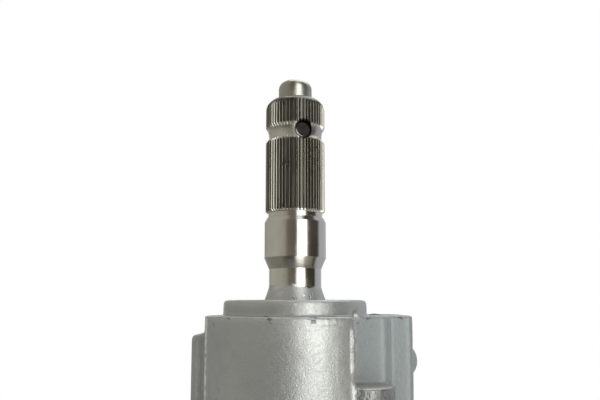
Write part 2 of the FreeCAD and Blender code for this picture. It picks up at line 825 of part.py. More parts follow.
def sector_tooth():
    """One involute tooth pointing along +X, as a face from inside the root to the tip."""
    base_r = pitch_r * math.cos(pressure_angle)
    thickness = tooth_pitch / 2 - 2 * flank_gap / math.cos(pressure_angle)
    pitch_half = thickness / 2 / pitch_r

    def half_angle(radius):
        slope = math.acos(min(1.0, base_r / radius))
        return pitch_half + involute(pressure_angle) - involute(slope)

    steps = 6
    radii = [base_r + (tip_r - base_r) * k / steps for k in range(steps + 1)]
    left = [V(r * math.cos(half_angle(r)), r * math.sin(half_angle(r)), 0) for r in radii]
    right = [V(p.x, -p.y, 0) for p in left]
    left_flank = Part.BSplineCurve()
    left_flank.interpolate(left)
    right_flank = Part.BSplineCurve()
    right_flank.interpolate(right)
    base_half = half_angle(base_r)
    sunk_r = root_r - 2.0
    low_left = V(sunk_r * math.cos(base_half), sunk_r * math.sin(base_half), 0)
    low_right = V(low_left.x, -low_left.y, 0)
    return Part.Face(Part.Wire([
        Part.makeLine(low_right, right[0]), right_flank.toShape(),
        Part.Arc(right[-1], V(tip_r, 0, 0), left[-1]).toShape(), left_flank.toShape(),
        Part.makeLine(left[0], low_left), Part.makeLine(low_left, low_right)]))


def sector_gear():
    """The sector drawn in the XY plane and raised across its width, teeth towards +X."""
    tooth_step = FULL_TURN / full_circle_teeth
    reach = (sector_teeth // 2) * tooth_step + tooth_step * 0.42
    z0, z1 = -sector_width / 2, sector_width / 2
    hub = tube(journal_r + 3.2, 0, z0, z1)
    wedge = Part.makeCylinder(root_r, sector_width, V(0, 0, z0), Z, 2 * reach)
    wedge.rotate(V(0, 0, 0), Z, -reach)
    body = hub.fuse(wedge)
    face = sector_tooth()
    for k in range(-(sector_teeth // 2), sector_teeth // 2 + 1):
        tooth = raised(face, z0, z1)
        tooth.rotate(V(0, 0, 0), Z, k * tooth_step)
        body = body.fuse(tooth)
    return body.removeSplitter()


def sector_shaft():
    """Sector, both journals, the T slot for the adjuster, taper serrations and thread."""
    half = sector_width / 2
    turned_part = turned([
        (0, sector_front), (journal_r - 1, sector_front), (journal_r, sector_front + 1),
        (journal_r, -half + 1), (journal_r, output_end + 1.0),
        (serration_big_r, serration_start - 1.0), (serration_big_r, serration_start),
        (serration_small_r, serration_end), (pitman_thread_r - 1.2, serration_end),
        (pitman_thread_r - 1.2, serration_end + 1.0), (pitman_thread_r, serration_end + 2.2),
        (pitman_thread_r, thread_end - 1.5), (pitman_thread_r - 1.5, thread_end), (0, thread_end)])
    body = sector_gear().fuse(turned_part)
    neck_half = adjuster_dia * 0.4 + 0.35
    head_half = adjuster_head_dia / 2 + 0.2
    lip_end = sector_front + slot_lip
    across = journal_r + 1
    body = body.cut(box(-across, across, -neck_half, neck_half, sector_front - 1, lip_end + 1))
    body = body.cut(box(-across, across, -head_half, head_half, lip_end, lip_end + slot_floor))
    body = body.cut(Part.makeCompound(serration_grooves()))
    return along_sector_gear(body)


def serration_grooves():
    """V grooves that follow the taper, from the shoulder to the thread."""
    half = math.pi * serration_small_r / serration_count
    over = 0.6
    spread = half * (1 + over / serration_depth)
    face = Part.Face(Part.makePolygon([
        V(serration_big_r - serration_depth, 0, 0), V(serration_big_r + over, -spread, 0),
        V(serration_big_r + over, spread, 0), V(serration_big_r - serration_depth, 0, 0)]))
    slope = V(-(serration_big_r - serration_small_r), 0, serration_length)
    groove = face.extrude(slope * 1.06)
    groove.translate(V(0, 0, serration_start) - slope * 0.02)
    return around(groove, serration_count)


def along_sector_gear(shape):
    """The sector's own XY drawing has its teeth along +X, which stays +X on the axis."""
    return along_sector(shape)


def pitman_nut():
    """The output nut, run home against its washer."""
    low = serration_end + end_gap + washer_thickness + end_gap
    body = hexagon(pitman_nut_flats, low, low + pitman_nut_height, 1.6)
    body = body.cut(tube(pitman_thread_r + fit_gap, 0, low - 1, low + pitman_nut_height + 1))
    bevel = turned([(0, low - 0.01), (pitman_thread_r + 1.2, low - 0.01),
                    (pitman_thread_r, low + 1.2), (0, low + 1.2)])
    return along_sector(body.cut(bevel))


def pitman_washer():
    """A split spring washer."""
    low = serration_end + end_gap
    outer = pitman_nut_flats / 2 - 0.6
    ring = tube(outer, pitman_thread_r + 0.25, low, low + washer_thickness)
    cut = box(0, outer + 2, -0.7, 0.7, low - 1, low + washer_thickness + 1)
    cut.rotate(V(0, 0, 0), Z, 70)
    return along_sector(ring.cut(cut))


# Gear housing

ear_turn = 45.0


def flange_plate(z0, z1):
    """The four-eared joint flange that both housings share."""
    edges = []
    spread = math.radians(68.0)
    ends = []
    for k in range(4):
        turn = math.radians(ear_turn + 90.0 * k)
        centre = V(valve_bolt_circle_r * math.cos(turn), valve_bolt_circle_r * math.sin(turn), 0)

        def rim(angle):
            return centre + V(ear_radius * math.cos(angle), ear_radius * math.sin(angle), 0)

        ends.append((rim(turn - spread), rim(turn), rim(turn + spread)))
    for k, (entry, middle, leave) in enumerate(ends):
        edges.append(Part.Arc(entry, middle, leave).toShape())
        turn = math.radians(ear_turn + 90.0 * k + 45.0)
        side = V(flange_side_r * math.cos(turn), flange_side_r * math.sin(turn), 0)
        edges.append(Part.Arc(leave, side, ends[(k + 1) % 4][0]).toShape())
    plate = raised(Part.Face(Part.Wire(edges)), z0, z1)
    return plate


def ear_places():
    turns = [math.radians(ear_turn + 90.0 * k) for k in range(4)]
    return [V(valve_bolt_circle_r * math.cos(t), valve_bolt_circle_r * math.sin(t), 0) for t in turns]


def mount_places():
    """Centres of the four mounting bosses' faces, on the +X side."""
    places = []
    for height in (mount_low_height, mount_low_height + mount_spacing_z):
        for side in (-mount_spacing_y / 2, mount_spacing_y / 2):
            places.append(V(mount_face_reach, side, height))
    return places


def cover_bolt_places(y):
    turns = [math.radians(45.0 + 90.0 * k) for k in range(4)]
    return [V(sector_x + cover_bolt_circle_r * math.cos(t), y,
              sector_z + cover_bolt_circle_r * math.sin(t)) for t in turns]


plug_seat_r = bore_r + 2.0
wire_r = wire_dia / 2
wire_z = rim_height - wire_r


def gear_housing():
    outer_r = bore_r + housing_wall
    barrel = turned([
        (0, 0), (outer_r - 1.5, 0), (outer_r, 1.5), (outer_r, joint_z - housing_flange_height - 4),
        (flange_side_r - 1, joint_z - housing_flange_height), (flange_side_r - 1, joint_z), (0, joint_z)])
    body = barrel.fuse(flange_plate(joint_z - housing_flange_height, joint_z))
    for band_z in (mount_low_height, mount_low_height + mount_spacing_z):
        body = body.fuse(bevelled_ring(outer_r + 2.0, 0, band_z - 5, band_z + 5, 1.8))
    body = body.fuse(sector_pod())
    body = body.fuse(mount_bosses())
    body = body.cut(housing_bores())
    return body.removeSplitter()


def sector_pod():
    """The round casting about the sector, its cover flange, output boss and gussets."""
    back = chamber_back + chamber_wall
    face = -cover_face_reach
    boss_r = output_bore_r + output_boss_wall
    pod = turned([
        (0, face), (cover_r - 1, face), (cover_r, face + 1), (cover_r, face + 11),
        (pod_r, face + 11 + cover_r - pod_r), (pod_r, back - 6),
        (pod_r - 6 * (1 - math.sqrt(0.5)), back - 6 * (1 - math.sqrt(0.5)), "arc"),
        (pod_r - 6, back), (boss_r + 5, back), (boss_r + 1.5, back + 1.5, "arc"),
        (boss_r, back + 5), (boss_r - 0.8, output_end - 1.5), (boss_r - 2.3, output_end),
        (0, output_end)])
    pod = along_sector(pod)
    web_end = back + output_boss_length * 0.72
    gusset = rounded_outline([
        (boss_r - 4, back - 3, 0), (pod_r - 3, back - 3, 0), (pod_r - 3, back, 0),
        (boss_r + 1, web_end, 0), (boss_r - 4, web_end, 0)])
    web = gusset.extrude(V(0, 0, 6))
    web.translate(V(0, 0, -3))
    web.rotate(V(0, 0, 0), X, 90)
    webs = [along_sector(w) for w in around(web, 5, 90.0)]
    return pod.fuse(webs)


def mount_bosses():
    bosses = []
    outer_r = bore_r + housing_wall
    root_x = outer_r * 0.45
    for place in mount_places():
        reach = mount_face_reach - root_x
        cone = Part.makeCone(mount_boss_dia / 2 + 2.0, mount_boss_dia / 2, reach,
                             V(root_x, place.y, place.z), X)
        bosses.append(cone)
    rib_z0 = mount_low_height
    rib_z1 = mount_low_height + mount_spacing_z
    for side in (-1, 1):
        rib = box(root_x, mount_face_reach - 6, -4, 4, rib_z0, rib_z1)
        rib.translate(V(0, side * mount_spacing_y / 2 * 0.86, 0))
        bosses.append(rib)
    return bosses


def housing_bores():
    """Everything that is machined out of the gear casting."""
    cuts = [tube(bore_r, 0, -1, joint_z + 1)]
    cuts.append(tube(plug_seat_r, 0, -1, end_stack))
    cuts.append(tube(plug_seat_r + wire_r * 0.9, 0, rim_height - wire_dia, rim_height))
    lead_in = turned([(0, -0.01), (plug_seat_r + 1.2, -0.01), (plug_seat_r, 1.2), (0, 1.2)])
    cuts.append(lead_in)
    groove = tube(seal_groove_r + seal_r + 0.1, seal_groove_r - seal_r - 0.1,
                  joint_z - 2 * seal_r, joint_z + 1)
    cuts.append(groove)
    for place in ear_places():
        cuts.append(Part.makeCylinder(valve_bolt_r + fit_gap, housing_flange_height + 6,
                                      place + Z * (joint_z - housing_flange_height)))
    for place in mount_places():
        cuts.append(Part.makeCylinder(mount_hole_dia / 2, mount_hole_depth + 1,
                                      place - X * mount_hole_depth, X))
    cuts.append(along_sector(tube(chamber_r, 0, -cover_face_reach - 1, chamber_back)))
    cuts.append(along_sector(tube(output_bore_r, 0, chamber_back - 1, output_end + 1)))
    cuts.append(along_sector(tube(output_bore_r + retaining_ring_bite, 0,
                                  output_ring_y, output_ring_y + retaining_ring_thickness + 0.1)))
    cuts.append(along_sector(tube(cover_r + 0.6, 0, -cover_face_reach - cover_thickness - 3,
                                  -cover_face_reach)))
    for place in cover_bolt_places(-cover_face_reach - 1):
        cuts.append(Part.makeCylinder(cover_bolt_r + fit_gap, cover_bolt_grip + 2, place, Y))
    return cuts


cover_bolt_grip = 11.0
output_ring_y = output_end - output_ring_land - retaining_ring_thickness
output_bearing_y = chamber_back + output_bearing_setback
output_seal_y = output_bearing_y + output_bearing_length + output_seal_gap


def end_plug():
    """The disc that closes the foot of the cylinder, with a groove for its ring."""
    top = end_stack - end_gap
    low = rim_height
    groove_r_in = plug_seat_r - 2 * seal_r
    middle = (top + low) / 2
    return turned([
        (0, low + 2.0), (plug_seat_r - 12, low + 2.0), (plug_seat_r - 10, low),
        (plug_seat_r - fit_gap, low), (plug_seat_r - fit_gap, middle - seal_r - 0.15),
        (groove_r_in, middle - seal_r - 0.15), (groove_r_in, middle + seal_r + 0.15),
        (plug_seat_r - fit_gap, middle + seal_r + 0.15), (plug_seat_r - fit_gap, top), (0, top)])


def end_plug_seal():
    middle = (end_stack - end_gap + rim_height) / 2
    return ring_cord(plug_seat_r - seal_r, seal_r - 0.03, middle)


def end_plug_ring():
    """The round wire ring under the plug, with a gap to prise it out."""
    ring = ring_cord(plug_seat_r - wire_r * 0.12, wire_r - 0.04, wire_z)
    gap = box(0, 2 * bore_r, -2.2, 2.2, -1, rim_height + 1)
    gap.rotate(V(0, 0, 0), Z, -60)
    return ring.cut(gap)


# Side cover, bush and adjuster

def side_cover():
    face = -cover_face_reach
    out = face - cover_thickness
    boss_top = out - cover_boss_height
    bore = journal_r + bush_wall + fit_gap
    hub = bore + hub_wall
    hub_end = -(sector_width / 2 + 2.5)
    bore_end = -cover_bore_end
    body = turned([
        (bore, hub_end), (hub, hub_end), (hub, face), (chamber_r - fit_gap, face),
        (cover_r - 1, face), (cover_r, face - 1), (cover_r, out + 3),
        (cover_r - 1.5, out + 0.9, "arc"), (cover_r - 4, out),
        (hub + 3, out), (hub - 1.0, out - 1.4, "arc"), (hub - 2, out - 4),
        (hub - 3, boss_top + 1), (hub - 4, boss_top), (adjuster_dia / 2 + fit_gap, boss_top),
        (adjuster_dia / 2 + fit_gap, bore_end), (bore, bore_end)])
    spigot = tube(chamber_r - fit_gap, hub - 1, face - 0.5, face + 4.0)
    body = body.fuse(spigot)
    ribs = []
    for k in range(4):
        rib = box(hub - 4, cover_bolt_circle_r - 8, -2.5, 2.5, out - 4.5, out + 1)
        rib.rotate(V(0, 0, 0), Z, 90.0 * k)
        ribs.append(rib)
    body = body.fuse(ribs)
    body = along_sector(body)
    for place in cover_bolt_places(out - 1):
        seat = cover_bolt_dia * 0.8
        body = body.fuse(Part.makeCylinder(seat, 3.0, V(place.x, out - 1.0, place.z), Y))
    for place in cover_bolt_places(out - 6):
        body = body.cut(Part.makeCylinder(cover_bolt_r + 0.3, cover_thickness + 12, place, Y))
    groove = tube(chamber_r + 0.8 * seal_r, chamber_r - 2 * seal_r,
                  face + 0.6, face + 0.6 + 2 * seal_r)
    return body.cut(along_sector(groove)).removeSplitter()


def side_cover_seal():
    ring_r = chamber_r - seal_r
    return along_sector(ring_cord(ring_r - 0.02, seal_r - 0.03, -cover_face_reach + 0.6 + seal_r))


def side_cover_bush():
    end = -(sector_width / 2 + bush_inset)
    start = -(cover_bore_end - bush_setback)
    return along_sector(tube(journal_r + bush_wall, journal_r + running_gap, start, end))


def hex_bolt(dia, length, washer_face):
    """A flanged hexagon bolt along Z: the shank hangs below z 0 and the head stands above."""
    head = hexagon(dia * 1.625, washer_face, washer_face + dia * 0.75, dia * 0.12)
    flange = turned([(0, 0), (dia * 1.12, 0), (dia * 1.12, washer_face * 0.5),
                     (dia * 0.8, washer_face + 0.4), (0, washer_face + 0.4)])
    shank = turned([(0, -length), (dia / 2 - 0.8, -length), (dia / 2, 0.8 - length),
                    (dia / 2, 0.1), (0, 0.1)])
    return head.fuse([flange, shank]).removeSplitter()


def side_cover_bolts():
    out = cover_face_reach + cover_thickness + 1.0
    bolts = []
    for place in cover_bolt_places(-out - fit_gap):
        bolt = hex_bolt(cover_bolt_dia, cover_thickness + 1.0 + cover_bolt_grip, 1.6)
        bolt.rotate(V(0, 0, 0), X, 90)
        bolt.translate(place)
        bolts.append(bolt)
    return bolts


def adjuster_screw():
    """The screw whose head sits in the shaft's T slot and sets the sector's depth."""
    head_y = sector_front + slot_lip + 0.2
    boss_top = -(cover_face_reach + cover_thickness + cover_boss_height)
    screw_r = adjuster_dia / 2
    neck_r = adjuster_dia * 0.4
    head_r = adjuster_head_dia / 2
    outer = boss_top - adjuster_reach + cover_boss_height
    body = turned([
        (0, outer), (screw_r - 1, outer), (screw_r, outer + 1), (screw_r, sector_front - 1.2),
        (neck_r, sector_front - 0.4), (neck_r, head_y), (head_r, head_y),
        (head_r, head_y + adjuster_head_thickness), (0, head_y + adjuster_head_thickness)])
    slot = box(-adjuster_dia, adjuster_dia, -0.8, 0.8, outer - 1, outer + 2.4)
    return along_sector(body.cut(slot))


def adjuster_locknut():
    top = -(cover_face_reach + cover_thickness + cover_boss_height) - fit_gap
    body = hexagon(locknut_flats, top - locknut_height, top, 1.2)
    return along_sector(body.cut(tube(adjuster_dia / 2 + fit_gap, 0, top - locknut_height - 1, top + 1)))


# Output bearing and seals

def needle_set(circle_r, count, low, length):
    """Rollers about Z, all parallel."""
    roller = Part.makeCylinder(needle_r, length, V(circle_r, 0, low))
    return around(roller, count)


def shell(outer_r, inner_r, low, length):
    """A drawn cup with its ends turned in over the rollers."""
    lip = shell_wall * 0.8
    mouth = inner_r - needle_r * 1.4
    return turned([
        (mouth, low), (outer_r - 0.6, low), (outer_r, low + 0.6), (outer_r, low + length - 0.6),
        (outer_r - 0.6, low + length), (mouth, low + length), (mouth, low + length - lip),
        (inner_r, low + length - lip), (inner_r, low + lip), (mouth, low + lip)])


def output_bearing_shell():
    return along_sector(shell(shell_outer_r, shell_inner_r, output_bearing_y, output_bearing_length))


def output_bearing_rollers():
    inset = shell_wall * 0.8 + 0.15
    rollers = needle_set(needle_circle_r, sector_needle_count, output_bearing_y + inset,
                         output_bearing_length - 2 * inset)
    return [along_sector(r) for r in rollers]


def lip_seal(outer_r, shaft_r, low, height):
    """A rotary lip seal: an L-shaped case and a lip that leans in to the shaft."""
    lip_r = shaft_r + running_gap
    return turned([
        (lip_r + 1.0, low), (outer_r, low), (outer_r, low + height - 0.5),
        (outer_r - 0.5, low + height), (lip_r + 0.3, low + height),
        (lip_r, low + height - 0.8), (lip_r, low + height * 0.45), (lip_r + 1.0, low + height * 0.3)])


def output_oil_seal():
    return along_sector(lip_seal(shell_outer_r, journal_r, output_seal_y, output_seal_height))


def output_dust_seal():
    low = output_seal_y + output_seal_height + end_gap
    return along_sector(lip_seal(shell_outer_r, journal_r, low, output_ring_y - low - end_gap))


def inner_ring(hole_r, shaft_r, low, eye_angle):
    """An inside retaining ring in its groove, with a gap and an eye for pliers each side."""
    high = low + retaining_ring_thickness
    outer_r = hole_r + retaining_ring_bite - 0.1
    ring = tube(outer_r, hole_r - retaining_ring_bite, low, high)
    eye_r = (hole_r - shaft_r) * 0.4
    middle_r = (hole_r + shaft_r) / 2
    half_gap = eye_r + 0.8
    ring = ring.cut(box(0, outer_r + 1, -half_gap, half_gap, low - 1, high + 1))
    eye_x = math.sqrt(middle_r ** 2 - (half_gap + eye_r * 0.8) ** 2)
    for side in (-1, 1):
        eye_y = side * (half_gap + eye_r * 0.8)
        ring = ring.fuse(tube(eye_r, 0, low, high, eye_x, eye_y))
        ring = ring.cut(tube(eye_r * 0.45, 0, low - 1, high + 1, eye_x, eye_y))
    ring.rotate(V(0, 0, 0), Z, eye_angle)
    return ring


def output_retaining_ring():
    return along_sector(inner_ring(output_bore_r, journal_r, output_ring_y + 0.05, 200.0))


# Valve housing and its seals

lobe_x = 19.0
lobe_y = -14.0
lobe_r = 8.2


def valve_housing():
    side = flange_side_r - 1.5
    flare = side - barrel_r
    shoulder = joint_z + ear_thickness + 6.0
    diagonal = flare * (1 - math.sqrt(0.5))
    body = turned([
        (0, joint_z), (side, joint_z), (side, shoulder),
        (barrel_r + diagonal, shoulder + diagonal, "arc"), (barrel_r, shoulder + flare),
        (barrel_r, top_z), (collar_r, top_z), (collar_r, collar_z - collar_round * 0.75),
        (collar_r - collar_round * 0.25, collar_z - collar_round * 0.2, "arc"),
        (collar_r - collar_round, collar_z), (0, collar_z)])
    body = body.fuse(flange_plate(joint_z, joint_z + ear_thickness))
    body = body.fuse([port_block(), oil_lobe(), side_lug()])
    pocket = box(pocket_edge, port_block_reach + 5, -barrel_dia, -pocket_face,
                 top_z - pocket_height, top_z + 1)
    body = body.cut(pocket)
    body = body.fuse(pocket_column())
    body = body.cut(valve_bores())
    return body.removeSplitter()


def port_block():
    """The square boss on the right that carries both hose ports on its rear face."""
    low = top_z - port_block_height
    outline = rounded_outline([
        (0, -port_block_front, 0), (port_block_reach, -port_block_front, 1.6),
        (port_block_reach, port_block_rear, 4.0), (3.0, port_block_rear, 4.0), (0, 18.0, 3.0)])
    block = raised(outline, low, top_z)
    slope = 14.0
    face = Part.Face(Part.makePolygon([
        V(port_block_reach + 1, -50, low - 1), V(port_block_reach + 1, -50, low + slope),
        V(port_block_reach - slope * 0.7, -50, low - 1), V(port_block_reach + 1, -50, low - 1)]))
    block = block.cut(face.extrude(V(0, 120, 0)))
    rear = Part.Face(Part.makePolygon([
        V(-50, port_block_rear + 1, low - 1), V(-50, port_block_rear + 1, low + 8),
        V(-50, port_block_rear - 5, low - 1), V(-50, port_block_rear + 1, low - 1)]))
    return block.cut(rear.extrude(V(120, 0, 0)))


def oil_lobe():
    """The cast rib below the milled ledge, which carries an oil way down to the cylinder."""
    return tube(lobe_r, 0, joint_z + ear_thickness - 1, top_z - pocket_height, lobe_x, lobe_y)


def pocket_column():
    """The smooth column that the milled pocket leaves beside the barrel."""
    outline = rounded_outline([
        (8.0, -pocket_face, 0), (column_reach, -pocket_face, column_round),
        (column_reach, 0, 0), (8.0, 0, 0)])
    return raised(outline, top_z - pocket_height, top_z)


def side_lug():
    """The cast rib on the left with a rounded shoulder, from near the top to the flange."""
    shoulder = top_z - lug_drop
    base = joint_z + ear_thickness - 1
    foot = -barrel_r - lug_rise * 0.45
    round_r = lug_rise * 0.3
    face = Part.Face(Part.Wire([
        Part.makeLine(V(0, 0, base), V(-lug_reach, 0, base)),
        Part.makeLine(V(-lug_reach, 0, base), V(-lug_reach, 0, shoulder - round_r)),
        Part.Arc(V(-lug_reach, 0, shoulder - round_r),
                 V(-lug_reach + round_r * 0.3, 0, shoulder - round_r * 0.3),
                 V(-lug_reach + round_r, 0, shoulder)).toShape(),
        Part.makeLine(V(-lug_reach + round_r, 0, shoulder), V(foot, 0, shoulder)),
        Part.Arc(V(foot, 0, shoulder), V(foot + lug_rise * 0.36, 0, shoulder + lug_rise * 0.14),
                 V(foot + lug_rise * 0.5, 0, shoulder + lug_rise * 0.5)).toShape(),
        Part.makeLine(V(foot + lug_rise * 0.5, 0, shoulder + lug_rise * 0.5),
                      V(0, 0, shoulder + lug_rise * 0.5)),
        Part.makeLine(V(0, 0, shoulder + lug_rise * 0.5), V(0, 0, base))]))
    lug = face.extrude(V(0, lug_depth, 0))
    lug.translate(V(0, -lug_front, 0))
    return lug


def valve_bores():
    """The stepped bore for the shaft, seals, bearing, valve and worm flange, and the ports."""
    deep = valve_housing_depth
    cuts = [
        tube(top_bore_r + fit_gap, 0, collar_z - oil_seal_depth - oil_seal_height - end_gap,
             collar_z + 1),
        tube(top_bore_r + retaining_ring_bite, 0, collar_z - ring_depth - retaining_ring_thickness - 0.1,
             collar_z - ring_depth),
        tube(input_shell_outer_r + fit_gap, 0, collar_z - lip_depth, collar_z),
        tube(seal_journal_r + 1.5, 0, collar_z - sleeve_depth - 1, collar_z),
        tube(valve_bore_r, 0, collar_z - cavity_depth - 1, collar_z - sleeve_depth + end_gap),
        tube(cavity_r, 0, collar_z - race_nut_depth - 1, collar_z - cavity_depth),
        tube(race_nut_r + fit_gap, 0, collar_z - deep - 1, collar_z - race_nut_depth)]
    for place in ear_places():
        cuts.append(Part.makeCylinder(valve_bolt_r + 0.3, ear_thickness + 2, place + Z * (joint_z - 1)))
        seat = place + Z * (joint_z + ear_thickness)
        cuts.append(Part.makeCylinder(valve_bolt_dia * 1.25, ear_thickness, seat))
    for index, diameter in enumerate((pressure_port_dia, return_port_dia)):
        place = port_place(index)
        cuts.append(Part.makeCylinder(diameter / 2, port_depth + 1, place - Y * port_depth, Y))
        cuts.append(Part.makeCone(diameter / 2, diameter / 2 + port_chamfer, port_chamfer,
                                  place - Y * port_chamfer, Y))
        cuts.append(Part.makeCylinder(diameter / 2 + port_relief, seat_nose_height + seat_clearance,
                                      place - Y * port_depth, Y))
    cuts.append(Part.makeCylinder(dome_plug_dia / 2, 7.0, dome_plug_place() - X * 6.0, X))
    return cuts + oil_ways()


def port_place(index):
    """Centre of a port's mouth on the rear face: pressure on top, return level with a band."""
    height = top_z - port_drop if index == 0 else band_height(1)
    return V(port_offset, port_block_rear, height)


def dome_plug_place():
    return V(port_block_reach, dome_plug_back, top_z - dome_plug_drop)


def oil_ways():
    """The drilled ways: from the pressure port across to the right-hand plug, up to the
    plug in the top face, down to the sleeve's top band, and from the return port."""
    way_r = oil_way_dia / 2
    band = band_height(0)
    down_r = top_plug_dia / 2
    across = port_block_reach - port_offset
    return [
        Part.makeCylinder(way_r, port_block_rear - dome_plug_back, port_place(0), Y * -1),
        Part.makeCylinder(way_r, across, V(port_offset, dome_plug_back, top_z - dome_plug_drop), X),
        tube(down_r, 0, band, top_z + 1, top_plug_x, dome_plug_back),
        Part.makeCylinder(way_r, math.hypot(top_plug_x, dome_plug_back), V(0, 0, band),
                          V(top_plug_x, dome_plug_back, 0)),
        Part.makeCylinder(way_r, port_block_rear, port_place(1), Y * -1)]


def domed_plug(radius, rise, shank):
    """A pressed plug with a round crown, along Z, its rim at z 0."""
    crown_r = (radius ** 2 + rise ** 2) / (2 * rise)
    crown = Part.makeSphere(crown_r, V(0, 0, rise - crown_r))
    return Part.makeCylinder(radius, shank + rise, V(0, 0, -shank)).common(crown)


def passage_plug():
    plug = domed_plug(dome_plug_dia / 2 - fit_gap, dome_plug_rise, dome_plug_shank)
    plug.rotate(V(0, 0, 0), Y, 90)
    plug.translate(dome_plug_place())
    return plug


def top_passage_plug():
    plug = domed_plug(top_plug_dia / 2 - fit_gap, top_plug_rise, top_plug_shank)
    plug.translate(V(top_plug_x, dome_plug_back, top_z))
    return plug


def port_seats():
    """The cone seats pressed into the bottom of each port for a flared tube."""
    seats = []
    for index, diameter in enumerate((pressure_port_dia, return_port_dia)):
        hole = oil_way_dia * 0.3
        shank_r = oil_way_dia / 2 - fit_gap
        flange_r = diameter * 0.33
        seat = turned([
            (hole, -seat_shank), (shank_r, -seat_shank), (shank_r, fit_gap), (flange_r, fit_gap),
            (flange_r, seat_nose_height * 0.25), (hole * 1.5, seat_nose_height), (hole, seat_nose_height)])
        seat.rotate(V(0, 0, 0), X, -90)
        seat.translate(port_place(index) - Y * port_depth)
        seats.append(seat)
    return seats


def valve_housing_seal():
    return ring_cord(seal_groove_r, seal_r - 0.02, joint_z - seal_r)


def valve_housing_bolts():
    bolts = []
    for place in ear_places():
        bolt = hex_bolt(valve_bolt_dia, valve_bolt_length, 1.6)
        bolt.rotate(V(0, 0, 0), Z, 15.0)
        bolt.translate(place + Z * (joint_z + ear_thickness + fit_gap))
        bolts.append(bolt)
    return bolts


def race_nut():
    """The ring nut that keeps the thrust bearings and worm in the valve housing."""
    top = collar_z - race_nut_depth
    low = joint_z + end_gap
    inner = ball_circle_r + 2.0
    body = bevelled_ring(race_nut_r, inner, low, top - fit_gap, 0.8)
    notch = box(race_nut_r - 4.0, race_nut_r - 1.0, -2.5, 2.5, low - 1, low + 3)
    return body.cut(Part.makeCompound(around(notch, 4, 45.0)))


def input_bearing_shell():
    low = collar_z - input_bearing_depth - input_needle_length
    return shell(input_shell_outer_r, input_shell_inner_r, low, input_needle_length)


def input_bearing_rollers():
    inset = shell_wall * 0.8 + 0.15
    low = collar_z - input_bearing_depth - input_needle_length + inset
    return needle_set(input_needle_circle_r, input_needle_count, low, input_needle_length - 2 * inset)


def input_oil_seal():
    low = collar_z - oil_seal_depth - oil_seal_height
    return lip_seal(top_bore_r, seal_journal_r, low, oil_seal_height)


def input_retaining_ring():
    low = collar_z - ring_depth - retaining_ring_thickness - 0.05
    return inner_ring(top_bore_r, seal_journal_r, low, 120.0)


def input_dust_seal():
    """The wiper in the mouth of the collar, dished towards the shaft."""
    low = collar_z - dust_seal_depth - dust_seal_height
    top = collar_z - dust_seal_depth
    lip_r = seal_journal_r + running_gap
    return turned([
        (lip_r + 0.8, low), (top_bore_r, low), (top_bore_r, top - 0.3), (top_bore_r - 0.4, top),
        (top_bore_r - 1.6, top), (lip_r + 1.9, top - 0.9, "arc"), (lip_r + 0.5, top - 0.5),
        (lip_r, top - 0.9), (lip_r, low + 1.0)])


def main():
    os.makedirs(PARTS, exist_ok=True)
    save("gear_housing", gear_housing())
    save("valve_housing", valve_housing())
    save("valve_housing_bolts", valve_housing_bolts())
    save("valve_housing_seal", valve_housing_seal())
    save("race_nut", race_nut())
    save("thrust_races", thrust_races())
    save("input_bearing_shell", input_bearing_shell())
    save("input_bearing_rollers", input_bearing_rollers())
    save("input_oil_seal", input_oil_seal())
    save("input_retaining_ring", input_retaining_ring())
    save("input_dust_seal", input_dust_seal())
    save("passage_plug", passage_plug())
    save("top_passage_plug", top_passage_plug())
    save("port_seats", port_seats())
    save("side_cover", side_cover())
    save("side_cover_bolts", side_cover_bolts())
    save("side_cover_seal", side_cover_seal())
    save("side_cover_bush", side_cover_bush())
    save("adjuster_screw", adjuster_screw())
    save("adjuster_locknut", adjuster_locknut())
    save("output_bearing_shell", output_bearing_shell())
    save("output_bearing_rollers", output_bearing_rollers())
    save("output_oil_seal", output_oil_seal())
    save("output_dust_seal", output_dust_seal())
    save("output_retaining_ring", output_retaining_ring())
    save("end_plug", end_plug())
    save("end_plug_seal", end_plug_seal())
    save("end_plug_ring", end_plug_ring())
    save("worm_shaft", worm_shaft())
    save("valve_sleeve", valve_sleeve())
    save("valve_sleeve_rings", valve_sleeve_rings())
    save("sleeve_drive_pin", sleeve_drive_pin())
    needles = thrust_needles()
    save("upper_thrust_needles", [needles[0][0]] + needles[0][1])
    save("lower_thrust_needles", [needles[1][0]] + needles[1][1])
    save("input_shaft", input_shaft())
    save("torsion_bar", torsion_bar())
    save("torsion_bar_pin", torsion_bar_pin())
    save("rack_piston", rack_piston())
    save("ball_train", ball_train())
    save("ball_return_guide", ball_return_guide())
    save("guide_clamp", guide_clamp())
    save("guide_clamp_screws", guide_clamp_screws())
    save("piston_end_plug", piston_end_plug())
    save("piston_ring", piston_ring())
    save("piston_backing_ring", piston_backing_ring())
    save("sector_shaft", sector_shaft())
    save("pitman_nut", pitman_nut())
    save("pitman_washer", pitman_washer())
    print("heights: joint", joint_z, "top", top_z, "collar", collar_z, "tip", tip_z)
    print("sector axis", sector_x, sector_z, "piston", piston_bottom, piston_top, "travel", travel)


main()
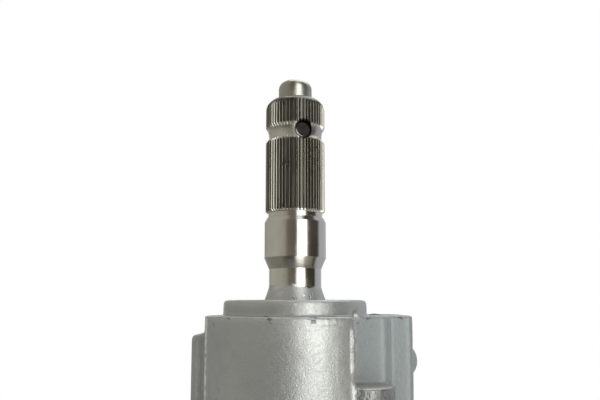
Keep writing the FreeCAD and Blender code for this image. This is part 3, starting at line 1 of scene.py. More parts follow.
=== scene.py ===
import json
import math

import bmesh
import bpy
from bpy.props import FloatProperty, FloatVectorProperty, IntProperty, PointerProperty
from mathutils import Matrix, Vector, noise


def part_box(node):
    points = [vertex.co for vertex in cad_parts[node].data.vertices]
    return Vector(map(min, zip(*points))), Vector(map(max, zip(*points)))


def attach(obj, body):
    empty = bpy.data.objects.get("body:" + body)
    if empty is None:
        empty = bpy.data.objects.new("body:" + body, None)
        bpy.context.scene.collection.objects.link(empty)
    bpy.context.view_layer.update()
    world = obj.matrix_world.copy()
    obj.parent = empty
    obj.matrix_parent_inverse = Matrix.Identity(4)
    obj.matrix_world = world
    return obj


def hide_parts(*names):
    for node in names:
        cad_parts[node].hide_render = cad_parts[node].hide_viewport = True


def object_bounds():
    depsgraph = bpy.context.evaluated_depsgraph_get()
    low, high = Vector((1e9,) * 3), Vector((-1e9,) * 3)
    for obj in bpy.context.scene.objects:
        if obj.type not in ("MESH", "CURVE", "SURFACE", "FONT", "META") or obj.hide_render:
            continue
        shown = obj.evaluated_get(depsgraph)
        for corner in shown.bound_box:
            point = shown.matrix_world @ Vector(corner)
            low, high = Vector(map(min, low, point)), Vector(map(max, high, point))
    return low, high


bl_info = {
    "name": "Steering Gearbox Looks",
    "version": (1, 0, 0),
    "blender": (4, 5, 0),
    "location": "3D View > Sidebar > Steering Gearbox",
    "description": "Cast skins, screw threads, finishes and a studio for the steering gearbox",
    "category": "Object",
}

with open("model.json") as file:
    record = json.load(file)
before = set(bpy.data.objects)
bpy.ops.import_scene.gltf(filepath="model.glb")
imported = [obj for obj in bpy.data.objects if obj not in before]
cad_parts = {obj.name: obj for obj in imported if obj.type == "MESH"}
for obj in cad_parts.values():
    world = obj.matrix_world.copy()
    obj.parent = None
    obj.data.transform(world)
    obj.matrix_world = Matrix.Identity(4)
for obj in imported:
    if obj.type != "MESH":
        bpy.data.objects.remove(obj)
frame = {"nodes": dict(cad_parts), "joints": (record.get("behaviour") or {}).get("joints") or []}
CAD_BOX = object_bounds()

MM = 0.001

# Places read from the frame
COLLAR_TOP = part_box("valve_housing")[1].z
JOINT_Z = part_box("gear_housing")[1].z
SECTOR_AT = Vector(next(j["pos_m"] for j in frame["joints"] if j["name"] == "sector_turn"))
OUTPUT_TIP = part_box("sector_shaft")[1].y
ADJUSTER_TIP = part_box("adjuster_screw")[0].y
NUT_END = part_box("pitman_nut")[1].y
LOCKNUT_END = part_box("adjuster_locknut")[0].y
COLLAR_DROP = 4.5 * MM
TOP_FACE = COLLAR_TOP - COLLAR_DROP


class CastingSettings(bpy.types.PropertyGroup):
    """Sizes and colour of the painted sand castings."""
    paint: FloatVectorProperty(
        name="Paint", description="Colour of the silver-grey paint", subtype="COLOR",
        size=3, min=0.0, max=1.0, default=(0.345, 0.352, 0.337))
    valve_cell: FloatProperty(
        name="Valve housing cell", description="Mesh size on the valve housing",
        unit="LENGTH", min=0.0002, default=0.00073)
    gear_cell: FloatProperty(
        name="Gear housing cell", description="Mesh size on the gear housing",
        unit="LENGTH", min=0.0003, default=0.00138)
    cover_cell: FloatProperty(
        name="Side cover cell", description="Mesh size on the side cover",
        unit="LENGTH", min=0.0002, default=0.0007)
    soften: IntProperty(
        name="Edge softening", description="Rounds of smoothing that ease the cast edges",
        min=0, default=3)
    lump: FloatProperty(
        name="Sand lumps", description="Height of the soft lumps that the sand mould leaves",
        unit="LENGTH", min=0.0, default=0.00006)
    flash: FloatProperty(
        name="Parting flash", description="Height of the rough ridge where the mould halves met",
        unit="LENGTH", min=0.0, default=0.0006)
    pocket_depth: FloatProperty(
        name="Pocket depth", description="From the top face down to the milled ledge",
        unit="LENGTH", min=0.001, default=0.0183)
    flange: FloatProperty(
        name="Flange thickness", description="Thickness of the valve housing's flange",
        unit="LENGTH", min=0.001, default=0.014)
    left_ridge: FloatProperty(
        name="Left ridge", description="Where the left parting ridge stands, from the front",
        subtype="ANGLE", default=math.radians(-71.0))
    # The colour of the painted highlight along the left parting ridge
    ridge_highlight: FloatVectorProperty(
        name="Ridge highlight", description="Colour of the paint along the left ridge",
        subtype="COLOR", size=3, min=0.0, max=1.0, default=(0.66, 0.67, 0.65))
    # The paint's colour share for the painted shade on the flat faces that look to the front
    front_face_shade: FloatVectorProperty(
        name="Front face shade", description="Share of the paint's colour on the flat front faces",
        subtype="COLOR", size=3, min=0.0, max=1.0, default=(0.56, 0.61, 0.63))


class ShaftSettings(bpy.types.PropertyGroup):
    """Colours and wear of the steel shafts."""
    steel: FloatVectorProperty(
        name="Steel", description="Colour of clean ground steel", subtype="COLOR",
        size=3, min=0.0, max=1.0, default=(0.62, 0.60, 0.55))
    # The colour of the painted shade between the spline teeth; at half it is also the oil round the
    # cross pin
    gap_shade_and_oil: FloatVectorProperty(
        name="Gap shade and oil", description="Colour of the oily dirt between the teeth",
        subtype="COLOR", size=3, min=0.0, max=1.0, default=(0.040, 0.036, 0.030))
    overspray: FloatProperty(
        name="Overspray height", description="How far the paint strays up the shaft",
        unit="LENGTH", min=0.0, default=0.0036)
    spline_start: FloatProperty(
        name="Spline's start", description="Height of the splines' lower end over the collar",
        unit="LENGTH", min=0.01, default=0.0262)
    groove_low: FloatProperty(
        name="Groove's lower edge",
        description="Height of the pinch groove's lower edge over the collar",
        unit="LENGTH", min=0.01, default=0.0475)
    groove_high: FloatProperty(
        name="Groove's upper edge",
        description="Height of the pinch groove's upper edge over the collar",
        unit="LENGTH", min=0.01, default=0.0525)
    spline_end: FloatProperty(
        name="Spline's end", description="Height of the splines' upper end over the collar",
        unit="LENGTH", min=0.01, default=0.0612)
    pin_turn: FloatProperty(
        name="Cross pin turn", description="How far the cross pin is turned to the right",
        subtype="ANGLE", default=math.radians(18.5))
    tip_radius: FloatProperty(
        name="Tooth tip radius", description="Radius over the spline teeth",
        unit="LENGTH", min=0.001, default=0.009)


class ThreadSettings(bpy.types.PropertyGroup):
    """Sizes of the screw threads."""
    output_radius: FloatProperty(
        name="Output thread", description="Outside radius of the pitman nut's thread",
        unit="LENGTH", min=0.001, default=0.011)
    output_pitch: FloatProperty(
        name="Output pitch", description="Pitch of the pitman nut's thread",
        unit="LENGTH", min=0.0002, default=0.0015)
    adjuster_radius: FloatProperty(
        name="Adjuster thread", description="Outside radius of the adjuster's thread",
        unit="LENGTH", min=0.001, default=0.005)
    adjuster_pitch: FloatProperty(
        name="Adjuster pitch", description="Pitch of the adjuster's thread",
        unit="LENGTH", min=0.0002, default=0.00125)


class PlugSettings(bpy.types.PropertyGroup):
    """Sizes of the domed plug."""
    face: FloatProperty(
        name="Block face", description="From the shaft's axis to the block's right-hand face",
        unit="LENGTH", min=0.001, default=0.0344)
    rim_radius: FloatProperty(
        name="Rim radius", description="Radius of the plug's flat rim, outside the bore",
        unit="LENGTH", min=0.001, default=0.0052)
    rim_thickness: FloatProperty(
        name="Rim thickness", description="Thickness of that rim",
        unit="LENGTH", min=0.0001, default=0.0004)
    rise: FloatProperty(
        name="Crown rise", description="How far the crown stands out of the block's face",
        unit="LENGTH", min=0.0005, default=0.0029)
    crown_radius: FloatProperty(
        name="Crown radius", description="Radius of the crown's round face",
        unit="LENGTH", min=0.001, default=0.0060)


class StageSettings(bpy.types.PropertyGroup):
    """Camera, lamps and floor."""
    camera_distance: FloatProperty(
        name="Camera distance", description="From the camera to the input shaft's axis",
        unit="LENGTH", min=0.05, default=0.180)
    camera_side: FloatProperty(
        name="Camera side step", description="How far the camera stands to the right",
        unit="LENGTH", default=0.00148)
    eye_drop: FloatProperty(
        name="Eye drop", description="How far the camera is below the collar's top",
        unit="LENGTH", default=0.00135)
    tilt: FloatProperty(
        name="Camera tilt", description="Upward tilt of the camera", subtype="ANGLE",
        default=math.radians(6.5))
    key_power: FloatProperty(
        name="Key lamp", description="Power of the soft lamp at the front right",
        unit="POWER", min=0.0, default=4.1)
    fill_level: FloatProperty(
        name="Room level", description="Light that comes from all round", min=0.0, default=0.84)


# Mesh helpers

def new_piece(name, bm):
    """Makes an object at the origin from a bmesh, smooth shaded."""
    mesh = bpy.data.meshes.new(name)
    bm.to_mesh(mesh)
    bm.free()
    for face in mesh.polygons:
        face.use_smooth = True
    piece = bpy.data.objects.new(name, mesh)
    bpy.context.scene.collection.objects.link(piece)
    return piece


def apply_modifiers(piece):
    """Applies every modifier on a piece."""
    graph = bpy.context.evaluated_depsgraph_get()
    mesh = bpy.data.meshes.new_from_object(piece.evaluated_get(graph))
    old = piece.data
    piece.modifiers.clear()
    piece.data = mesh
    bpy.data.meshes.remove(old)


def finish_piece(piece, material, body):
    """Gives a new piece its material and its body."""
    piece.data.materials.clear()
    piece.data.materials.append(material)
    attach(piece, body)


def dress(nodes, material):
    """Puts a material on CAD nodes."""
    for name in nodes:
        piece = frame["nodes"][name]
        if piece.material_slots:
            for place in piece.material_slots:
                place.material = material
        else:
            piece.data.materials.append(material)


# Material helpers

class Shader:
    """A Principled material and short calls for the nodes that feed it."""

    def __init__(self, name, color, metallic, roughness):
        self.material = bpy.data.materials.new(name)
        self.material.use_nodes = True
        self.tree = self.material.node_tree
        self.surface = self.tree.nodes["Principled BSDF"]
        self.surface.inputs["Base Color"].default_value = (*color, 1.0)
        self.surface.inputs["Metallic"].default_value = metallic
        self.surface.inputs["Roughness"].default_value = roughness
        self.place = self.tree.nodes.new("ShaderNodeTexCoord").outputs["Object"]

    def join(self, value, socket):
        """Links a node's output, or sets a plain value, on a socket."""
        if isinstance(value, bpy.types.NodeSocket):
            self.tree.links.new(value, socket)
        elif isinstance(value, tuple) and len(value) == 3 and socket.type == "RGBA":
            socket.default_value = (*value, 1.0)
        else:
            socket.default_value = value

    def feed(self, value, name):
        self.join(value, self.surface.inputs[name])

    def scaled(self, x, y, z):
        """Object coordinates stretched by a factor each way."""
        mapping = self.tree.nodes.new("ShaderNodeMapping")
        mapping.inputs["Scale"].default_value = (x, y, z)
        self.join(self.place, mapping.inputs["Vector"])
        return mapping.outputs["Vector"]

    def noise(self, scale, detail=3.0, vector=None, distortion=0.0):
        node = self.tree.nodes.new("ShaderNodeTexNoise")
        node.inputs["Scale"].default_value = scale
        node.inputs["Detail"].default_value = detail
        node.inputs["Distortion"].default_value = distortion
        self.join(vector or self.place, node.inputs["Vector"])
        return node.outputs["Fac"]

    def ramp(self, value, stops):
        """A colour ramp over (position, colour) stops."""
        node = self.tree.nodes.new("ShaderNodeValToRGB")
        items = node.color_ramp.elements
        while len(items) < len(stops):
            items.new(0.5)
        for item, (position, color) in zip(items, stops):
            item.position = position
            item.color = (*color, 1.0)
        self.join(value, node.inputs["Fac"])
        return node.outputs["Color"]

    def step(self, value, low, high, from_value=0.0, to_value=1.0):
        """Maps low..high of a value smoothly to from_value..to_value, and clamps it."""
        node = self.tree.nodes.new("ShaderNodeMapRange")
        node.interpolation_type = "SMOOTHSTEP"
        node.inputs["From Min"].default_value = low
        node.inputs["From Max"].default_value = high
        node.inputs["To Min"].default_value = from_value
        node.inputs["To Max"].default_value = to_value
        self.join(value, node.inputs["Value"])
        return node.outputs["Result"]

    def math(self, kind, a, b=0.0):
        node = self.tree.nodes.new("ShaderNodeMath")
        node.operation = kind
        self.join(a, node.inputs[0])
        self.join(b, node.inputs[1])
        return node.outputs[0]

    def product(self, first, *others):
        """Several values multiplied together."""
        for other in others:
            first = self.math("MULTIPLY", first, other)
        return first

    def band(self, value, rise, fall):
        """1 between two edges of a value, each with a soft start and end, and 0 outside them."""
        return self.product(self.step(value, *rise), self.step(value, *fall))

    def mix(self, share, a, b):
        node = self.tree.nodes.new("ShaderNodeMix")
        node.data_type = "RGBA"
        self.join(share, node.inputs["Factor"])
        self.join(a, node.inputs[6])
        self.join(b, node.inputs[7])
        return node.outputs[2]

    def axes(self):
        node = self.tree.nodes.new("ShaderNodeSeparateXYZ")
        self.join(self.place, node.inputs[0])
        return node.outputs[0], node.outputs[1], node.outputs[2]

    def facing_front(self):
        """How far a face looks to the front, from -1 to 1."""
        node = self.tree.nodes.new("ShaderNodeSeparateXYZ")
        self.join(self.tree.nodes.new("ShaderNodeTexCoord").outputs["Normal"], node.inputs[0])
        return self.math("MULTIPLY", node.outputs[1], -1.0)

    def radius(self, a, b):
        """Distance from an axis, from the two coordinates across it."""
        square = self.math("ADD", self.math("MULTIPLY", a, a), self.math("MULTIPLY", b, b))
        return self.math("SQRT", square)

    def bump(self, height, distance, strength=1.0, normal=None):
        node = self.tree.nodes.new("ShaderNodeBump")
        node.inputs["Strength"].default_value = strength
        node.inputs["Distance"].default_value = distance
        self.join(height, node.inputs["Height"])
        if normal:
            self.join(normal, node.inputs["Normal"])
        return node.outputs["Normal"]

    def soft_edge(self, radius):
        node = self.tree.nodes.new("ShaderNodeBevel")
        node.samples = 4
        node.inputs["Radius"].default_value = radius
        return node.outputs["Normal"]

    def wear(self, low, high):
        """Convex edges as a share from 0 to 1."""
        point = self.tree.nodes.new("ShaderNodeNewGeometry").outputs["Pointiness"]
        return self.step(point, low, high)


# Finishes

# Marks on the valve housing, with the painted highlight along the left ridge and the painted shade
# on the flat front faces. Each pair is where a mark starts to show and where it shows fully
CRACKS_RIGHT = ((0.0025, 0.0045), (0.0115, 0.0095))
CRACKS_LEFT = ((-0.0078, -0.0072), (-0.0050, -0.0056))
CRACKS_FRONT = (0.0, -0.005)
CRACKS_RIM = ((-0.0030, -0.0002), (0.0006, 0.0001))
EXTRA_CRACKS = 0.055
RIDGE_ANGLE = (0.075, 0.035)
BARREL_SKIN = (0.0280, 0.0274)
MILLED_SIDE = (0.0154, 0.0166)
MILLED_BACK = (-0.0060, -0.0048)
UNDER_SIDE = (0.0155, 0.0165)
UNDER_FRONT = (-0.0045, -0.0060)
PAINT_FLAKE = 0.62
MILLED_DULLING = 0.50
OLD_DIRT = (0.045, 0.042, 0.030)


def rim_cracks(s, x, y, foot):
    """Cracks in the paint along the top face's rim, with more of them in two places in front."""
    places = s.math("MAXIMUM", s.band(x, *CRACKS_RIGHT), s.band(x, *CRACKS_LEFT))
    places = s.product(places, s.step(y, *CRACKS_FRONT), EXTRA_CRACKS)
    ragged = s.math("ADD", s.noise(330.0, 5.0, s.scaled(1.0, 1.0, 1.8), 0.8), places)
    return s.product(s.step(ragged, 0.615, 0.66), s.band(foot, *CRACKS_RIM))


def painted_ridge_light(s, x, y, z, foot):
    """A painted highlight: the paint is lighter along the left parting ridge, above the flange."""
    casting = bpy.context.scene.steering_castings
    flange_top = JOINT_Z + casting.flange
    turn = s.math("ARCTAN2", x, s.math("MULTIPLY", y, -1.0))
    beside = s.math("ABSOLUTE", s.math("SUBTRACT", turn, casting.left_ridge))
    return s.product(s.step(beside, *RIDGE_ANGLE), s.step(s.radius(x, y), *BARREL_SKIN),
                     s.step(foot, 0.0003, 0.0), s.step(z, flange_top + 0.004, flange_top + 0.008))


def front_shade_mask(s, x, y, z, ledge):
    """The flat front faces at the right of the barrel, from the flange to the top face, which get
    painted shade.
    """
    flange_top = JOINT_Z + bpy.context.scene.steering_castings.flange
    beside = s.math("MAXIMUM", s.step(z, ledge, ledge + 0.0003), s.step(y, *MILLED_BACK))
    height = s.band(z, (flange_top, flange_top + 0.0015), (TOP_FACE + 0.0002, TOP_FACE - 0.0004))
    return s.product(s.step(s.facing_front(), 0.1, 0.4), s.step(x, *MILLED_SIDE), beside, height)


def under_ledge(s, x, y, z, ledge):
    """The rough dark casting just below the milled ledge."""
    height = s.band(z, (ledge - 0.0001, ledge - 0.0007), (ledge - 0.018, ledge - 0.009))
    return s.product(height, s.step(x, *UNDER_SIDE), s.step(y, *UNDER_FRONT))


def cast_paint():
    """Silver paint over sand-cast iron: fine sparkling grain, soft stains and a few dark cracks."""
    casting = bpy.context.scene.steering_castings
    paint = tuple(casting.paint)
    ledge = TOP_FACE - casting.pocket_depth
    s = Shader("silver_paint", paint, PAINT_FLAKE, 0.36)
    x, y, z = s.axes()
    foot = s.math("SUBTRACT", z, TOP_FACE)
    flakes = s.noise(2600.0, 2.0)
    grain = s.noise(1300.0, 4.0)
    sand = s.noise(620.0, 3.0)
    light = tuple(min(1.0, c * 1.07) for c in paint)
    dull = tuple(c * 0.93 for c in paint)
    tone = s.ramp(s.noise(55.0, 5.0), [(0.35, dull), (0.65, light)])
    stain = s.step(s.noise(150.0, 6.0, distortion=1.2), 0.60, 0.74, 0.0, 0.30)
    tone = s.mix(stain, tone, tuple(c * 0.7 for c in paint))
    # Painted highlight: a light, patchy line of paint along the left parting ridge
    ridge_glint = s.product(painted_ridge_light(s, x, y, z, foot), s.step(sand, 0.30, 0.60))
    tone = s.mix(ridge_glint, tone, tuple(casting.ridge_highlight))
    # Painted shade: the flat faces that look to the front get a darker, bluer paint and less
    # metallic flake
    milled = front_shade_mask(s, x, y, z, ledge)
    tone = s.mix(milled, tone, tuple(c * t for c, t in zip(paint, casting.front_face_shade)))
    specks = s.step(s.noise(210.0, 7.0, distortion=1.6), 0.70, 0.73, 0.0, 0.65)
    specks = s.product(specks, s.math("SUBTRACT", 1.0, s.product(milled, 0.7)))
    dark = s.math("MAXIMUM", s.product(rim_cracks(s, x, y, foot), 0.9), specks)
    tone = s.mix(dark, tone, OLD_DIRT)
    under = under_ledge(s, x, y, z, ledge)
    tone = s.mix(under, tone, tuple(c * 0.66 for c in paint))
    mottle = s.step(s.noise(420.0, 3.0, distortion=1.0), 0.38, 0.62)
    hollows = s.product(under, s.math("SUBTRACT", 1.0, mottle))
    tone = s.mix(hollows, tone, tuple(c * 0.50 for c in paint))
    s.feed(tone, "Base Color")
    flake = s.math("SUBTRACT", PAINT_FLAKE, s.product(milled, MILLED_DULLING))
    s.feed(s.product(s.math("SUBTRACT", 1.0, dark), flake), "Metallic")
    s.feed(s.step(grain, 0.3, 0.7, 0.32, 0.44), "Roughness")
    fine = s.bump(flakes, 0.000045, 0.9)
    grained = s.bump(grain, 0.00006, 0.7, fine)
    lumps = s.bump(sand, 0.00006, 0.5, grained)
    rough = s.bump(s.product(under, mottle), 0.00012, 0.8, lumps)
    s.feed(s.bump(dark, -0.00012, 0.8, rough), "Normal")
    return s.material


def shared_paint():
    """The castings' paint, made once; the frame's own plain material is called cast_paint."""
    return bpy.data.materials.get("silver_paint") or cast_paint()


def turned_steel(name, color, roughness, axis="z"):
    """Machined steel with fine tool lines about an axis and worn edges."""
    s = Shader(name, color, 1.0, roughness)
    across = {"x": (9000.0, 90.0, 90.0), "y": (90.0, 9000.0, 90.0), "z": (90.0, 90.0, 9000.0)}
    tool = s.noise(1.0, 2.0, s.scaled(*across[axis]))
    smear = s.noise(180.0, 4.0)
    bright = tuple(min(1.0, c * 1.15) for c in color)
    dim = tuple(c * 0.72 for c in color)
    s.feed(s.ramp(smear, [(0.3, dim), (0.7, bright)]), "Base Color")
    s.feed(s.step(smear, 0.25, 0.75, roughness * 0.8, roughness * 1.35), "Roughness")
    s.feed(s.bump(tool, 0.00001, 0.6, s.soft_edge(0.00015)), "Normal")
    return s.material


def cross_pin_places(s):
    """Distances from the cross pin's axis, sideways and up, and the pin's radius."""
    low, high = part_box("torsion_bar_pin")
    turn = bpy.context.scene.steering_shaft.pin_turn
    x, y, z = s.axes()
    across = s.math("ADD", s.math("MULTIPLY", x, math.cos(turn)),
                    s.math("MULTIPLY", y, math.sin(turn)))
    return across, s.math("SUBTRACT", z, (low.z + high.z) / 2), (high.z - low.z) / 2


def shaft_steel():
    """The input shaft: ground bands, painted shade between the teeth and stray paint at its foot.
    """
    shaft = bpy.context.scene.steering_shaft
    paint = tuple(bpy.context.scene.steering_castings.paint)
    steel = tuple(shaft.steel)
    s = Shader("shaft_steel", steel, 1.0, 0.2)
    x, y, z = s.axes()
    out = s.radius(x, y)
    up = s.math("SUBTRACT", z, COLLAR_TOP)
    tool = s.noise(1.0, 2.0, s.scaled(60.0, 60.0, 11000.0))
    smear = s.noise(230.0, 5.0, s.scaled(1.0, 1.0, 0.35))
    spots = s.noise(900.0, 3.0)
    clean = s.ramp(smear, [(0.3, tuple(c * 0.84 for c in steel)), (0.65, steel)])
    lower = s.band(up, (shaft.spline_start, shaft.spline_start + 0.0006),
                   (shaft.groove_low + 0.0004, shaft.groove_low - 0.0002))
    upper = s.band(up, (shaft.groove_high - 0.0004, shaft.groove_high + 0.0002),
                   (shaft.spline_end, shaft.spline_end - 0.0006))
    splined = s.math("ADD", lower, upper)
    groove = s.band(up, (shaft.groove_low - 0.0002, shaft.groove_low + 0.0004),
                    (shaft.groove_high + 0.0002, shaft.groove_high - 0.0004))
    used = tuple(c * t for c, t in zip(steel, (0.85, 0.87, 0.78)))
    dull = s.ramp(smear, [(0.3, tuple(c * 0.78 for c in used)), (0.7, used)])
    tone = s.mix(splined, clean, dull)
    satin = s.ramp(smear, [(0.3, (0.48, 0.47, 0.42)), (0.7, (0.60, 0.57, 0.53))])
    tone = s.mix(groove, tone, satin)
    # Painted shade: the roots between the spline teeth are painted near black
    tooth_gap_shade = s.step(out, shaft.tip_radius - 0.00024, shaft.tip_radius - 0.00005, 1.0, 0.0)
    tone = s.mix(s.product(tooth_gap_shade, splined, 0.86), tone, tuple(shaft.gap_shade_and_oil))
    across, above, rim_radius = cross_pin_places(s)
    facing = s.math("SUBTRACT", s.math("MULTIPLY", x, math.sin(shaft.pin_turn)),
                    s.math("MULTIPLY", y, math.cos(shaft.pin_turn)))
    oil = s.step(s.radius(across, s.math("MULTIPLY", above, 0.88)), rim_radius + 0.00005,
                 rim_radius + 0.0003, 1.0, 0.0)
    oil = s.math("MULTIPLY", oil, s.step(facing, 0.0, 0.001))
    tone = s.mix(oil, tone, tuple(c * 0.5 for c in shaft.gap_shade_and_oil))
    rust = s.math("MULTIPLY", s.step(spots, 0.68, 0.76), s.math("SUBTRACT", 1.0, splined))
    tone = s.mix(s.math("MULTIPLY", rust, 0.3), tone, (0.16, 0.10, 0.06))
    ragged = s.math("MULTIPLY", s.math("SUBTRACT", s.noise(430.0, 4.0), 0.5), 0.0060)
    foot = s.step(s.math("ADD", up, ragged), shaft.overspray - 0.0005, shaft.overspray + 0.0005,
                  1.0, 0.0)
    chip = s.step(s.noise(620.0, 3.0), 0.60, 0.64, 1.0, 0.1)
    painted = s.math("MULTIPLY", foot, chip)
    s.feed(s.mix(painted, tone, tuple(c * 1.1 for c in paint)), "Base Color")
    s.feed(s.math("SUBTRACT", 1.0, s.math("MULTIPLY", painted, 0.4)), "Metallic")
    rough = s.step(smear, 0.25, 0.75, 0.13, 0.21)
    rough = s.math("ADD", rough, s.math("MULTIPLY", splined, 0.12))
    rough = s.math("ADD", rough, s.math("MULTIPLY", groove, 0.16))
    s.feed(s.math("ADD", rough, s.math("MULTIPLY", painted, 0.22)), "Roughness")
    cuts = s.bump(tool, 0.000012, 0.5, s.soft_edge(0.00012))
    s.feed(s.bump(painted, 0.00008, 0.6, cuts), "Normal")
    return s.material


def cross_pin_steel():
    """Oily black steel, with a painted glint: a brighter, metallic arc on the lower-left part of
    the chamfer round the pin's end.
    """
    s = Shader("cross_pin_steel", (0.010, 0.010, 0.009), 0.0, 0.6)
    s.surface.inputs["Specular IOR Level"].default_value = 0.05
    across, above, rim_radius = cross_pin_places(s)
    # Painted glint: only the lower-left arc of the chamfer is bright and metallic
    rim = s.step(s.radius(across, above), rim_radius - 0.00085, rim_radius - 0.00060)
    rim = s.math("MULTIPLY", rim, s.step(s.math("ADD", across, above), -0.0016, -0.0027))
    film = s.noise(700.0, 4.0)
    dark = s.ramp(film, [(0.3, (0.016, 0.016, 0.014)), (0.7, (0.032, 0.031, 0.026))])
    s.feed(s.mix(rim, dark, (0.45, 0.44, 0.40)), "Base Color")
    s.feed(rim, "Metallic")
    s.feed(s.bump(film, 0.00004, 0.5), "Normal")
    return s.material


def rubber(name, color):
    """Moulded rubber with a dusty bloom."""
    s = Shader(name, color, 0.0, 0.62)
    dust = s.noise(420.0, 5.0)
    dusty = tuple(c * 2.2 + 0.01 for c in color)
    s.feed(s.ramp(dust, [(0.35, color), (0.75, dusty)]), "Base Color")
    s.feed(s.step(dust, 0.3, 0.7, 0.52, 0.74), "Roughness")
    s.feed(s.bump(s.noise(2600.0, 3.0), 0.00003, 0.5), "Normal")
    return s.material


def plated(name, color, roughness):
    """Zinc plate with cloudy passivation and worn, lighter edges."""
    s = Shader(name, color, 1.0, roughness)
    cloud = s.noise(260.0, 5.0, distortion=0.8)
    warm = (color[0] * 1.02, color[1] * 0.97, color[2] * 0.86)
    dull = tuple(c * 0.62 for c in color)
    tone = s.ramp(cloud, [(0.25, dull), (0.5, warm), (0.75, color)])
    s.feed(s.mix(s.wear(0.58, 0.68), tone, (0.70, 0.70, 0.68)), "Base Color")
    s.feed(s.step(cloud, 0.3, 0.7, roughness * 0.8, roughness * 1.3), "Roughness")
    s.feed(s.bump(s.noise(1500.0, 4.0), 0.00002, 0.5, s.soft_edge(0.0002)), "Normal")
    return s.material


def cast_grey():
    """Bare grey iron, turned and lightly rusted."""
    s = Shader("cast_grey", (0.30, 0.29, 0.28), 0.85, 0.45)
    blotch = s.noise(130.0, 6.0, distortion=0.6)
    tone = s.ramp(blotch, [(0.3, (0.20, 0.19, 0.18)), (0.6, (0.34, 0.33, 0.32)),
                           (0.8, (0.26, 0.18, 0.12))])
    s.feed(tone, "Base Color")
    s.feed(s.step(blotch, 0.3, 0.7, 0.38, 0.6), "Roughness")
    s.feed(s.bump(s.noise(1200.0, 4.0), 0.00004, 0.6, s.soft_edge(0.0002)), "Normal")
    return s.material


# Cast skins

BORE_RADIUS = {"valve_housing": 0.027, "gear_housing": 0.0355, "side_cover": 0.0}
BARREL_INSIDE, BARREL_OUTSIDE = 0.024, 0.028
RIDGE_START = 1.2 * MM
RIDGE_FADE = 3.0 * MM
POCKET_RIDGE = math.radians(35.6)
SQUARE_TO_AXIS = 0.9985


def lump_height(point, size):
    """Soft unevenness of a sand-cast face at a point, from about -1 to 1."""
    broad = noise.noise(point / (5.5 * size))
    middle = noise.noise(point / (2.2 * size) + Vector((7.0, 3.0, 1.0)))
    fine = noise.noise(point / (1.1 * size) + Vector((2.0, 9.0, 5.0)))
    return 0.9 * broad + 0.55 * middle + 0.3 * fine


def valve_ridge(point):
    """How far a point of the valve housing lies on a parting ridge, and how rough it is there."""
    casting = bpy.context.scene.steering_castings
    turn = math.atan2(point.x, -point.y)
    out = math.hypot(point.x, point.y)
    drop = TOP_FACE - point.z
    if not RIDGE_START < drop or not BARREL_INSIDE < out < BARREL_OUTSIDE:
        return 0.0
    fade = min(1.0, (drop - RIDGE_START) / RIDGE_FADE)
    pocket = math.exp(-((turn - POCKET_RIDGE) * out / (0.6 * MM)) ** 2)
    pocket *= 0.8 + 1.3 * noise.noise(point / (0.7 * MM))
    if drop > casting.pocket_depth:
        pocket *= math.exp(-(drop - casting.pocket_depth) / (2.5 * MM))
    left = 0.6 * math.exp(-((turn - casting.left_ridge) * out / (0.8 * MM)) ** 2)
    return fade * (pocket + left)


def is_cast(normal, point, bore_radius):
    """Flat faces square to the axes are machined, and so is the inside of the bore."""
    if max(abs(normal.x), abs(normal.y), abs(normal.z)) > SQUARE_TO_AXIS:
        return False
    inward = normal.x * point.x + normal.y * point.y < 0
    return not (inward and math.hypot(point.x, point.y) < bore_radius)


def cast_skin(node, cell):
    """A finely meshed copy of a casting with eased edges and sand lumps in its mesh."""
    casting = bpy.context.scene.steering_castings
    bm = bmesh.new()
    bm.from_mesh(frame["nodes"][node].data)
    bmesh.ops.remove_doubles(bm, verts=bm.verts, dist=1e-6)
    skin = new_piece(node + "_casting", bm)
    low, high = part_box(node)
    reach = max(high - low)
    depth = math.ceil(math.log2(reach / cell / 0.97))
    grid = skin.modifiers.new("even_mesh", "REMESH")
    grid.mode = "SHARP"
    grid.octree_depth = depth
    grid.scale = reach / (cell * 2 ** depth)
    grid.sharpness = 1.0
    grid.use_remove_disconnected = False
    apply_modifiers(skin)
    bm = bmesh.new()
    bm.from_mesh(skin.data)
    bm.normal_update()
    flat = {v.index: v.normal.copy() for v in bm.verts}
    for _ in range(casting.soften):
        bmesh.ops.smooth_vert(bm, verts=bm.verts, factor=0.5, use_axis_x=True,
                              use_axis_y=True, use_axis_z=True)
    for vert in bm.verts:
        normal = flat[vert.index]
        if is_cast(normal, vert.co, BORE_RADIUS[node]):
            vert.co += normal * casting.lump * lump_height(vert.co, MM)
            if node == "valve_housing":
                vert.co += normal * casting.flash * valve_ridge(vert.co)
    bm.to_mesh(skin.data)
    bm.free()
    for face in skin.data.polygons:
        face.use_smooth = True
    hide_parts(node)
    return skin


class STEERING_OT_castings(bpy.types.Operator):
    """Make the painted castings with eased edges and sand lumps"""
    bl_idname = "steering.castings"
    bl_label = "Castings"

    def execute(self, context):
        casting = context.scene.steering_castings
        for node, cell in (("valve_housing", casting.valve_cell),
                           ("gear_housing", casting.gear_cell),
                           ("side_cover", casting.cover_cell)):
            finish_piece(cast_skin(node, cell), shared_paint(), "housing")
        return {"FINISHED"}


# The domed plug

PLUG_SUNK = 0.0002
DOME_STEPS = 24
TURN_STEPS = 96


